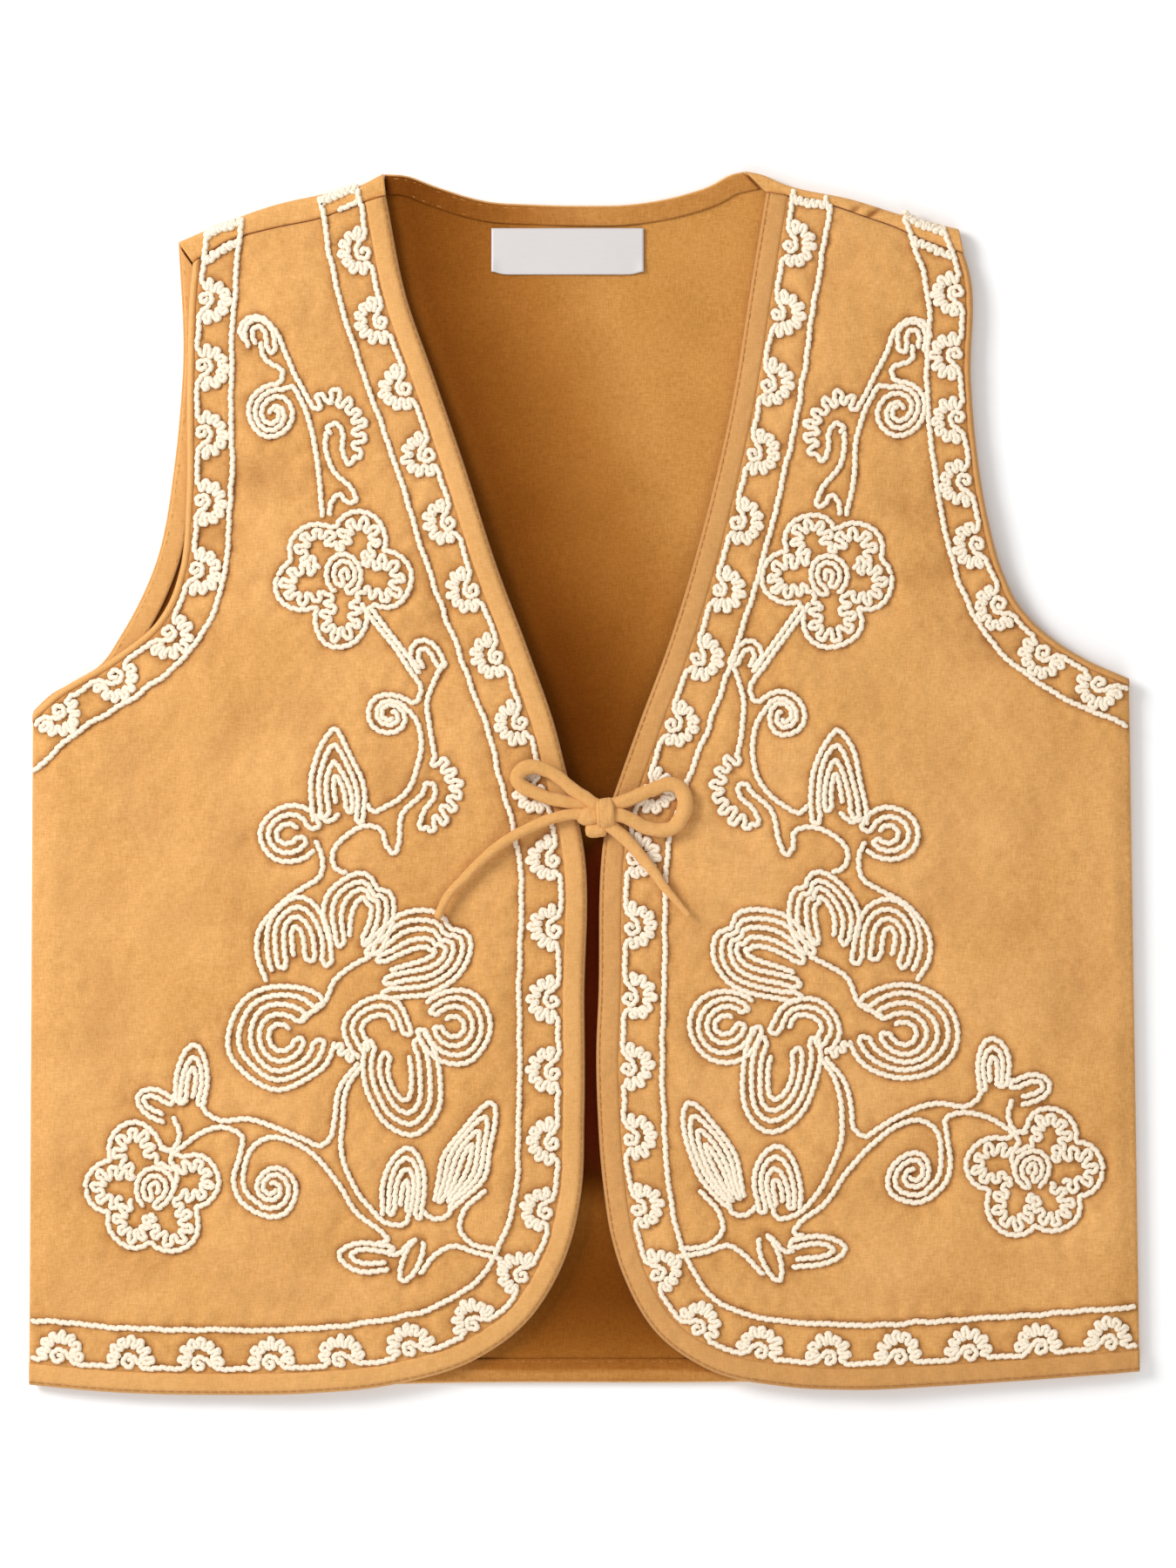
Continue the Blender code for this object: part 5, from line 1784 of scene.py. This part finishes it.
@dataclass
class Back:
    """The back: lining up, its shoulders folded forward, with the facings that show and the label.

    Attributes:
        fronts: The fronts, which the shoulders meet.
        grid: The distance between the lining's points.
        under_grid: The same on the underside.
        facing_rows: The stitch rows' places across a facing, as shares of its width.
        pressed: How far a facing's stitches press in.
        lip: How far the label's lower corners stand up.
    """

    fronts: tuple[Front, ...]
    grid: float = 2.4
    under_grid: float = 12.0
    facing_rows: tuple[float, float] = (0.14, 0.86)
    pressed: float = 0.16
    lip: float = 0.55

    @staticmethod
    def lining_level(x: np.ndarray, y: np.ndarray) -> np.ndarray:
        """Height of the lining."""
        return CLOTH + Ripple(71, 34.0, 0.14)(x, y) + Ripple(72, 12.0, 0.06)(x, y)

    def dimness(self, x: np.ndarray, y: np.ndarray) -> np.ndarray:
        """How little light reaches the lining between the fronts, which comes over the left one.

        Args:
            x: Where each point lies across.
            y: Where it lies up.

        Returns:
            0 where the lining is lit, towards 1 in the dark, and 1 in the slit.
        """
        left, right = self.fronts
        sides = []
        for front in (left, right):
            line = front.edge[front.edge[:, 1].argsort()]
            sides.append(front.sign * np.interp(y, line[:, 1], line[:, 0]))
        opening = np.maximum(sides[1] - sides[0], 0.1)
        share = np.clip((x - sides[0]) / opening, 0.0, 1.0)
        shadowed = 0.09 + 0.08 * smoothstep(opening / 60.0)
        spread = 1.7 - 0.55 * smoothstep((opening - 40.0) / 25.0)
        neck = shadowed + (0.0102 * opening - 0.02 - shadowed) * share ** spread
        hem = 0.055 + 0.0050 * opening
        light = hem + (neck - hem) * smoothstep((y + 60.0) / 50.0)
        beside = 0.74 + 0.26 * smoothstep((x - sides[0]) / 9.0)
        between = 0.22 + 0.78 * smoothstep(opening / 30.0)
        dim = 1.0 - np.clip(light / (0.66 * beside * between), 0.17, 1.0)
        return dim + (1.0 - dim) * smoothstep((9.0 - opening) / 5.0)

    def outline(self, step: float, fold_stations: int) -> list[tuple]:
        """Set out the outline anticlockwise.

        Args:
            step: The distance between stations on a plain edge.
            fold_stations: How many stations each shoulder fold has.

        Returns:
            Each station's point, and on a shoulder fold the seam point that its cloth ends at, or None.
        """
        left, right = self.fronts
        hidden = beside(right.armhole, 1.5)
        hidden = stretch(hidden, crossings(hidden, extend(right.side))[0][0], len(hidden) - LEAD - 1.0)
        underarm, left_hem, right_hem = BACK_LEFT_ARMHOLE[-1], BACK_HEM[0], BACK_HEM[-1]
        stations = self.plain_stations(smooth(BACK_NECK), step) + self.fold_pairs(left, fold_stations)
        stations += self.plain_stations(smooth(BACK_LEFT_ARMHOLE), step)
        for corner, curve in (
            (underarm, (underarm, left_hem)), (left_hem, smooth(BACK_HEM)),
            (right_hem, (right_hem, hidden[0])), (hidden[0], hidden),
        ):
            stations.append((np.array(corner), None))
            stations += self.plain_stations(np.array(curve), step)
        return stations + self.fold_pairs(right, fold_stations)

    @staticmethod
    def plain_stations(curve: Points, step: float) -> list[tuple]:
        """Stations along a plain edge, the first and last of them close to its corners.

        Args:
            curve: The edge.
            step: The distance between stations.

        Returns:
            Each station's point, with no seam point.
        """
        close = resample(curve, CORNER_STEP)
        return [(point, None) for point in (close[1], *resample(curve, step)[1:-1], close[-2])]

    @staticmethod
    def fold_pairs(front: Front, count: int) -> list[tuple]:
        """Stations along a shoulder's fold.

        Args:
            front: The front whose shoulder it is.
            count: How many stations there are.

        Returns:
            Each station's point, with the seam point that its cloth ends at.
        """
        pairs = []
        for share in np.linspace(0.0, 1.0, count):
            over = at(front.fold, share * (len(front.fold) - 1)) * (front.sign, 1.0)
            seam = at(front.seam, (1.0 - share) * (len(front.seam) - 1)) * (front.sign, 1.0)
            pairs.append((over, seam))
        return pairs if front.sign < 0 else pairs[::-1]

    @staticmethod
    def fold_section(fold_point: np.ndarray, seam_point: np.ndarray, run: float) -> tuple[list, list, list]:
        """Shape the cloth where it turns over a shoulder.

        Args:
            fold_point: The section's point on the top fold.
            seam_point: Its point on the forward seam.
            run: The section's run along the fold.

        Returns:
            Its outer line, inner line and end.
        """
        reach = np.linalg.norm(seam_point - fold_point)
        inward = (seam_point - fold_point) / reach
        centre = fold_point + inward * FOLD_OUTER
        outer, inner = [], []
        steps = 9
        for step in range(steps + 1):
            angle = math.pi * (step / steps - 0.5)
            for radius, line in ((FOLD_OUTER, outer), (FOLD_INNER, inner)):
                x, y = centre - inward * radius * math.cos(angle)
                line.append((x, y, FOLD_OUTER + radius * math.sin(angle)))
        legs = 7
        for step in range(1, legs + 1):
            share = step / legs
            place = centre + inward * (reach - FOLD_OUTER - 0.35) * share
            pucker = 0.16 * math.sin(run / 2.1 + 2.0 * share) * share + 0.10 * math.sin(run / 0.9) * share
            sink = 0.35 * share ** 6 + sum(float(crease.sink(place[0], place[1])) for crease in STRIP_CREASES)
            outer.append((*place, FOLD_TOP + pucker * (1.0 - share ** 6) - sink))
            inner.append((*place, FOLD_OUTER + FOLD_INNER))
        tip = (*(fold_point + inward * (reach - 0.02)), FOLD_OUTER + FOLD_INNER + CLOTH * 0.45)
        return outer, inner, [tip]

    @staticmethod
    def join(here: tuple, after: tuple) -> list[tuple]:
        """Fill the wall between two neighbouring stations.

        Args:
            here: One station's points, from the underside up.
            after: The next one's.

        Returns:
            The faces between them, with a cap where a folded station meets a plain one.
        """
        if len(here) == len(after):
            return [(here[step], after[step], after[step + 1], here[step + 1])
                    for step in range(len(here) - 1)]
        folded, plain = (here, after) if len(here) > len(after) else (after, here)
        cap = [(plain[0], folded[0], plain[1]), (plain[1], folded[0], folded[-1]),
               (plain[1], folded[-1], plain[2]), (plain[2], folded[-1], plain[3])]
        for step in range(len(folded) // 2):
            corners = (folded[step], folded[step + 1], folded[-2 - step], folded[-1 - step])
            cap.append(tuple(dict.fromkeys(corners)))
        return cap if folded is after else [side[::-1] for side in cap]

    def make(self, room: Workroom) -> bpy.types.Object:
        """Build the back, with its outer cloth below and over the shoulders and its lining on top.

        Args:
            room: Makes the piece.

        Returns:
            The piece.
        """
        stations = self.outline(2.0, 90)
        outline = np.array([point for point, _ in stations])
        ring = inset_ring(outline, RIM)
        for index, (fold_point, seam_point) in enumerate(stations):
            if seam_point is not None:
                run = seam_point - fold_point
                ring[index] = fold_point + run / np.linalg.norm(run) * FOLD_OUTER
        plan, triangles = fill(ring, self.grid)
        under, under_triangles = fill(ring, self.under_grid)
        filled = len(plan)
        level = self.lining_level(plan[:, 0], plan[:, 1])
        calm = smoothstep(nearest(plan, ring) / 6.0)
        level = CLOTH + (level - CLOTH) * calm
        points = [tuple(point) for point in np.column_stack((plan, level))]
        points += [(x, y, 0.0) for x, y in under]
        faces = triangles + [tuple(filled + corner for corner in face[::-1]) for face in under_triangles]
        sections = []
        for index, (fold_point, seam_point) in enumerate(stations):
            low, high = filled + index, index
            first = len(points)
            if seam_point is None:
                points += [(*fold_point, CLOTH * 0.3), (*fold_point, CLOTH * 0.7)]
            else:
                outer, inner, tip = self.fold_section(fold_point, seam_point, index * 0.72)
                points += outer[1:] + tip + inner[:0:-1]
            sections.append((low, *range(first, len(points)), high))
        for here, after in zip(sections, sections[1:] + sections[:1]):
            faces += self.join(here, after)
        points = np.array(points)
        shade = np.zeros(len(points))
        # Painted shade on the lining where little light reaches it between the fronts
        shade[:filled] = self.dimness(plan[:, 0], plan[:, 1])
        walls = filled + len(under)
        x, y = points[walls:, 0], points[walls:, 1]
        # Painted shade in the creases of the shoulder strip
        shade[walls:] = 1.1 * sum(crease.sink(x, y) for crease in STRIP_CREASES)
        piece = room.piece("back_cloth", points, faces, SHELL, Slot.LINING, ["back"], shade)
        piece.data.materials.append(room.materials[LINING.name])
        for polygon in list(piece.data.polygons)[:len(triangles)]:
            polygon.material_index = 1
        return piece

    def facing(self, room: Workroom, name: str, edge: Points, width: float, starts: Points, ends: Points,
               finish: ClothFinish) -> bpy.types.Object:
        """One narrow facing strip along the inside of an edge.

        Args:
            room: Makes the piece.
            name: The solid that it stands for.
            edge: The edge.
            width: The strip's width.
            starts: The line where it starts.
            ends: The line where it ends.
            finish: Its finish. In the binding's it lies in the light.

        Returns:
            The piece.
        """
        inset, high = FACING_INSET, CLOTH + SEAM_GAP
        columns = [(inset, 0.15)]
        for share in np.linspace(0.06, 0.94, 8):
            groove = sum(math.exp(-((share - stitch) / 0.05) ** 2) for stitch in self.facing_rows)
            columns.append((inset + share * width, FACING_THICKNESS - self.pressed * groove))
        columns += [(inset + width, 0.15), (inset + width - 0.4, -0.25), (inset + 0.4, -0.25)]
        plan, run = strip(edge, [distance for distance, _ in columns], starts, ends)
        rows, shades = [], []
        lit = finish is BINDING
        for index, (distance, height) in enumerate(columns):
            x, y = plan[:, index, 0], plan[:, index, 1]
            bulge = Ripple(81, 5.0, 0.07)(run, np.full(len(run), distance * 0.4)) * (height > 0.2)
            rows.append(np.column_stack((x, y, high + height + bulge)))
            # Painted shade: a little where the facing lies in the light, the lining's dimness elsewhere
            shades.append(np.full(len(run), 0.05) if lit else self.dimness(x, y))
        points = np.stack(rows, axis=1).reshape(-1, 3)
        faces = tube_faces(len(run), len(columns), True)
        shade = np.stack(shades, axis=1).reshape(-1)
        return room.piece(name + "_cloth", points, faces, finish, Slot.FACING, [name], shade)

    def facings(self, room: Workroom, stitching: Stitching) -> list[bpy.types.Object]:
        """The facings at the neck, the left armhole and the hem, each with its rows of stitches.

        Args:
            room: Makes the pieces.
            stitching: Takes the stitches.

        Returns:
            The three pieces.
        """
        rows = (
            ("neck_facing", smooth(BACK_NECK), 5.8, ((40.9, 197.9), (62.9, 175.9)),
             ((-62.4, 195.0), (-59.9, 172.7)), FACING),
            ("armhole_facing_left", smooth(BACK_LEFT_ARMHOLE), 6.4, ((-131.2, 174.0), (-116.2, 152.8)),
             ((-161.0, 45.0), (-161.0, 15.0)), BINDING),
            ("hem_facing", smooth(BACK_HEM), 7.0, ((-162.0, -200.0), (-162.0, -160.0)),
             ((162.0, -200.0), (162.0, -160.0)), FACING),
        )
        level = CLOTH + SEAM_GAP + FACING_THICKNESS - self.pressed - 0.01
        made = []
        for name, curve, width, starts, ends, finish in rows:
            starts, ends = np.array(starts), np.array(ends)
            made.append(self.facing(room, name, extend(curve), width, starts, ends, finish))
            for share in self.facing_rows:
                line = between(beside(curve, FACING_INSET + share * width), starts, ends, 0.5)
                stitching.row(line, lambda x, y: np.full(len(x), level), 1.0)
        return made

    def label(self, room: Workroom) -> bpy.types.Object:
        """The bare ribbon label, whose ends turn under at its lower corners.

        Args:
            room: Makes the piece.

        Returns:
            The piece.
        """
        left, low, right, high = LABEL_BOX
        across, up = 60, 22
        xs, ys = np.linspace(left, right, across), np.linspace(low, high, up)
        grid_x, grid_y = np.meshgrid(xs, ys)
        end = np.minimum(grid_x - left, right - grid_x)
        lower = smoothstep((low + 7.0 - grid_y) / 7.0)
        lip = self.lip * lower * np.exp(-(end / 1.8) ** 2)
        wave = 0.10 * np.sin(grid_x / 6.5 + 0.8) * smoothstep((high - grid_y) / 10.0)
        drawn_in = 0.9 * lower * np.exp(-(end / 2.5) ** 2)
        grid_y = grid_y + drawn_in
        base = CLOTH + SEAM_GAP
        top = base + LABEL_THICKNESS + lip + wave + 0.08
        flat_x, flat_y = grid_x.ravel(), grid_y.ravel()
        points = np.vstack((np.column_stack((flat_x, flat_y, top.ravel())),
                            np.column_stack((flat_x, flat_y, np.full(flat_x.size, base)))))
        faces = []
        total = across * up
        for row in range(up - 1):
            for column in range(across - 1):
                corner = row * across + column
                quad = (corner, corner + 1, corner + across + 1, corner + across)
                faces.append(quad)
                faces.append(tuple(total + value for value in quad[::-1]))
        loop = list(range(across)) + [row * across + across - 1 for row in range(1, up)]
        loop += [(up - 1) * across + column for column in range(across - 2, -1, -1)]
        loop += [row * across for row in range(up - 2, 0, -1)]
        for index, corner in enumerate(loop):
            follow = loop[(index + 1) % len(loop)]
            faces.append((corner, total + corner, total + follow, follow))
        return room.piece("label_ribbon", points, faces, SATIN, Slot.LABEL, ["label"])


@dataclass
class Bow:
    """The two ties, knotted in a bow over the slit.

    Attributes:
        high: Half a tie's height.
        wide: Half of each stretch's width.
        thinning: How much narrower each tail is at its free end.
        station: The distance between a tie's sections.
        round_points: How many points a tie's section has.
        cushion_points: How many points a cushion's section has.
        cushion_sections: How many sections it has.
    """

    high: float = 1.35
    wide: dict[str, float] = field(default_factory=lambda: {
        "tie_loop_left": 2.05, "tie_loop_right": 2.15, "tie_tail_left": 1.75, "tie_tail_right": 2.2})
    thinning: dict[str, float] = field(default_factory=lambda: {
        "tie_tail_left": 0.26, "tie_tail_right": 0.66})
    station: float = 0.9
    round_points: int = 16
    cushion_points: int = 40
    cushion_sections: int = 30

    @staticmethod
    def level(x: float, y: float) -> float:
        """Find where a tie lies on the bands or on the embroidery.

        Args:
            x: Its place across.
            y: Its place up.

        Returns:
            The height of its centre.
        """
        on_band, on_cords = BAND_THICKNESS + 0.25, CLOTH + SEAM_GAP + 1.0
        share = float(smoothstep((abs(x - 3.0) - 4.0) / 6.0))
        resting = on_band + (on_cords - on_band) * share
        return float(front_floor(abs(x), y)) + resting + SEAM_GAP + TIE_DIAMETER / 2

    def tie(self, room: Workroom, name: str, route: Points) -> bpy.types.Object:
        """One stretch of tie: a flattened tube with its seam along one side.

        Args:
            room: Makes the piece.
            name: The solid that it stands for.
            route: Its centre line.

        Returns:
            The piece.
        """
        line = smooth(route, self.station)
        tangent = np.gradient(line, axis=0)
        tangent = tangent / np.linalg.norm(tangent, axis=1)[:, None]
        side = np.column_stack((-tangent[:, 1], tangent[:, 0], np.zeros(len(line))))
        side = side / np.linalg.norm(side, axis=1)[:, None]
        rise = np.cross(tangent, side)
        run = np.arange(len(line)) * self.station
        count = self.round_points
        rings = np.zeros((len(line), count, 3))
        if name in self.thinning:
            taper = 1.0 - self.thinning[name] * (run / run[-1]) ** 1.5
        else:
            taper = 1.0 + 0.16 * np.exp(-((run / run[-1] - 0.5) / 0.13) ** 2)
        cap = np.minimum(1.0, np.minimum(run, run[::-1]) / 1.0 + 0.55)
        for index in range(count):
            angle = 2.0 * math.pi * index / count
            seam = 1.0 - 0.16 * math.exp(-((math.degrees(angle) - 118.0) / 16.0) ** 2)
            wrinkle = 1.0 + 0.035 * np.sin(run / 1.5 + 3.0 * angle) + 0.03 * np.sin(run / 0.8 - 2.0 * angle)
            wide = self.wide[name] * math.cos(angle) * seam * wrinkle * taper * cap
            high = self.high * math.sin(angle) * seam * wrinkle * taper * cap
            rings[:, index] = line + side * wide[:, None] + rise * high[:, None]
        piece = room.piece(name + "_cloth", rings.reshape(-1, 3), tube_faces(len(line), count, False),
                           BINDING, Slot.BINDING, [name])
        return piece

    def cushion(self, centre: tuple[float, ...], half: tuple[float, ...], turn: float, squareness: float,
                creases: Sequence[tuple[float, float]]) -> tuple[Points, list]:
        """A soft closed cushion of folded tie.

        Args:
            centre: Its centre.
            half: Half its length along the turned x, along the turned y, and in height.
            turn: The turn of its length in degrees.
            squareness: How square its ends are.
            creases: Grooves that run round it, each a share of its half length and a depth.

        Returns:
            Points and faces.
        """
        count = self.cushion_points
        angle = 2.0 * math.pi * np.arange(count) / count
        rows = []
        for share in np.linspace(-1.0, 1.0, self.cushion_sections):
            close = 0.05 + 0.95 * (1.0 - abs(share) ** squareness) ** (1.0 / squareness)
            for place, depth in creases:
                close *= 1.0 - depth * math.exp(-((share - place) / 0.09) ** 2)
            ripple = 1.0 + 0.025 * np.sin(3.0 * angle + 4.0 * share)
            rows.append(np.column_stack((np.full(count, half[0] * share),
                                         half[1] * close * np.cos(angle) * ripple,
                                         half[2] * close * np.sin(angle) * ripple)))
        along, across, up = np.vstack(rows).T
        cosine, sine = math.cos(math.radians(turn)), math.sin(math.radians(turn))
        turned = np.column_stack((along * cosine - across * sine, along * sine + across * cosine, up))
        return turned + np.array(centre), tube_faces(self.cushion_sections, count, False)

    def knot(self, room: Workroom) -> bpy.types.Object:
        """The knot: a strap over the strands, with the strands' bulge to its left.

        Args:
            room: Makes the piece.

        Returns:
            The piece.
        """
        x, y = KNOT_CENTRE
        base = float(front_floor(abs(x), y)) + BAND_THICKNESS
        strap = self.cushion((x + 0.25, y - 0.1, base + 2.9), (2.95, 4.7, 3.6), 3.0, 5.0,
                             ((-0.55, 0.05), (0.30, 0.02)))
        bulge = self.cushion((x - 4.6, y - 1.0, base + 2.6), (4.2, 2.95, 2.55), 8.0, 2.1, ((0.25, 0.03),))
        return room.piece("knot_cloth", *gather((strap, bulge)), BINDING, Slot.BINDING, ["tie_knot"])

    def root(self, room: Workroom) -> bpy.types.Object:
        """The fold of tie that crosses the slit under the knot.

        Args:
            room: Makes the piece.

        Returns:
            The piece.
        """
        x, y = KNOT_CENTRE
        base = float(front_floor(abs(x), y)) + BAND_THICKNESS
        fold = self.cushion((x - 2.6, y - 5.2, base + 1.9), (3.4, 2.5, 2.1), 2.0, 3.2, ((0.35, 0.04),))
        return room.piece("tie_root_cloth", *fold, BINDING, Slot.BINDING, ["tie_root"])

    def make(self, room: Workroom) -> None:
        """Make the whole bow.

        Args:
            room: Makes the pieces.
        """
        for name, rows in TIES.items():
            route = np.array([(x, y, self.level(x, y) + lift) for x, y, lift in rows])
            self.tie(room, name, route)
        self.knot(room)
        self.root(room)


@dataclass
class Studio:
    """The pale floor, the soft lights and the camera straight above.

    Attributes:
        frame_long: The height of what the camera sees, at the cloth.
        cloth_height: How high the cloth lies.
        camera_height: How high the camera stands.
        camera_at: Where it stands on the plan.
        sensor: The height of its sensor.
        surround: The strength of the white surroundings.
    """

    frame_long: float = 486.0
    cloth_height: float = 6.0
    camera_height: float = 1700.0
    camera_at: tuple[float, float] = (1.1, -0.4)
    sensor: float = 36.0
    surround: float = 0.60

    def set_up(self) -> None:
        """Set the stage."""
        self.floor()
        self.lights()
        self.camera()

    def floor(self) -> None:
        """A plain pale floor."""
        bpy.ops.object.select_all(action="DESELECT")
        bpy.ops.mesh.primitive_plane_add(size=9.0, location=(0.0, 0.0, -0.0002))
        floor = bpy.context.object
        floor.name = "floor"
        bench = Bench("pale_floor")
        bench.settle({"Base Color": (0.93, 0.93, 0.93, 1.0), "Roughness": 0.9})
        floor.data.materials.append(bench.material)

    def lights(self) -> None:
        """A broad key from the upper left, a weak fill, and white surroundings."""
        for name, energy, size, place in (
            ("key", 15.2, 0.55, (-0.94, 0.56, 0.86)), ("fill", 9.0, 1.4, (0.10, -1.25, 1.20)),
        ):
            data = bpy.data.lights.new(name, "AREA")
            data.energy = energy
            data.size = size
            lamp = bpy.data.objects.new(name, data)
            lamp.location = place
            lamp.rotation_euler = (-Vector(place)).to_track_quat("-Z", "Y").to_euler()
            bpy.context.collection.objects.link(lamp)
        world = bpy.data.worlds.new("studio")
        world.use_nodes = True
        sky = world.node_tree.nodes["Background"]
        sky.inputs["Color"].default_value = (1.0, 1.0, 1.0, 1.0)
        sky.inputs["Strength"].default_value = self.surround
        bpy.context.scene.world = world
        bpy.context.scene.view_settings.view_transform = "Standard"

    def camera(self) -> None:
        """A long lens straight above, framed as the photograph is."""
        data = bpy.data.cameras.new("camera")
        data.sensor_fit = "VERTICAL"
        data.sensor_height = self.sensor
        data.lens = self.sensor * (self.camera_height - self.cloth_height) / self.frame_long
        data.clip_end = 20.0
        camera = bpy.data.objects.new("camera", data)
        camera.location = (self.camera_at[0] * MM, self.camera_at[1] * MM, self.camera_height * MM)
        bpy.context.collection.objects.link(camera)
        bpy.context.scene.camera = camera


class Waistcoat:
    """The whole garment, built from its parts in order."""

    def __init__(self) -> None:
        """Set out the fronts and the workroom."""
        self.room = Workroom()
        self.fronts = make_fronts()
        self.stitching = Stitching()

    def dress_front(self, front: Front) -> None:
        """Make one front with its embroidery, bands and stitch rows, and work out its cut's outline.

        Args:
            front: The front.
        """
        sewn = Embroidery(front).sew(self.room)
        cloth = FrontCloth(front).make(self.room)
        seam, side = beside(front.seam, SEAM_HALF_GAP), extend(front.side)
        wide = Band(front, "edge_band_", BAND_WIDTH, extend(front.edge), seam, side, (EDGE_ROW,))
        narrow = Band(front, "armhole_band_", ARMHOLE_BAND_WIDTH, extend(front.armhole), side, seam, ())
        bands = [wide.make(self.room), narrow.make(self.room)]
        for distance, sunk in ((EDGE_ROW, 0.05), (BAND_WIDTH - 0.35, 0.45)):
            line = between(beside(front.edge, distance), seam, side, 1.0)
            self.stitching.row(line, lambda out, y: front_floor(out, y) + front.lie(out, y)
                               + BAND_THICKNESS - sunk, front.sign)
        outline = enclose((beside(front.edge, BAND_WIDTH), side, beside(front.armhole, ARMHOLE_BAND_WIDTH),
                           extend(front.seam)), 3.0)

    def build(self) -> None:
        """Build every part."""
        Studio().set_up()
        Bow().make(self.room)
        for front in self.fronts:
            self.dress_front(front)
        back = Back(self.fronts)
        cloth = back.make(self.room)
        facings = back.facings(self.room, self.stitching)
        label = back.label(self.room)
        stitches = self.room.piece("stitching", *gather(self.stitching.stitches), THREAD, Slot.BINDING)
        size, area = cut_of(np.array([point for point, _ in back.outline(3.0, 20)]))


def cut_of(outline: Points) -> tuple[tuple[float, float], float]:
    """Measure the flat cut that a closed outline bounds.

    Args:
        outline: The outline.

    Returns:
        Its two sides in metres, and its area in square metres.
    """
    x, y = outline[:, 0], outline[:, 1]
    area = abs(float(np.dot(x, np.roll(y, -1)) - np.dot(y, np.roll(x, -1)))) / 2.0
    return (np.ptp(x) * MM, np.ptp(y) * MM), area * MM * MM


def main() -> None:
    """Build the waistcoat."""
    logging.basicConfig(level=logging.INFO, format="%(message)s")
    Waistcoat().build()


if __name__ == "__main__":
    main()
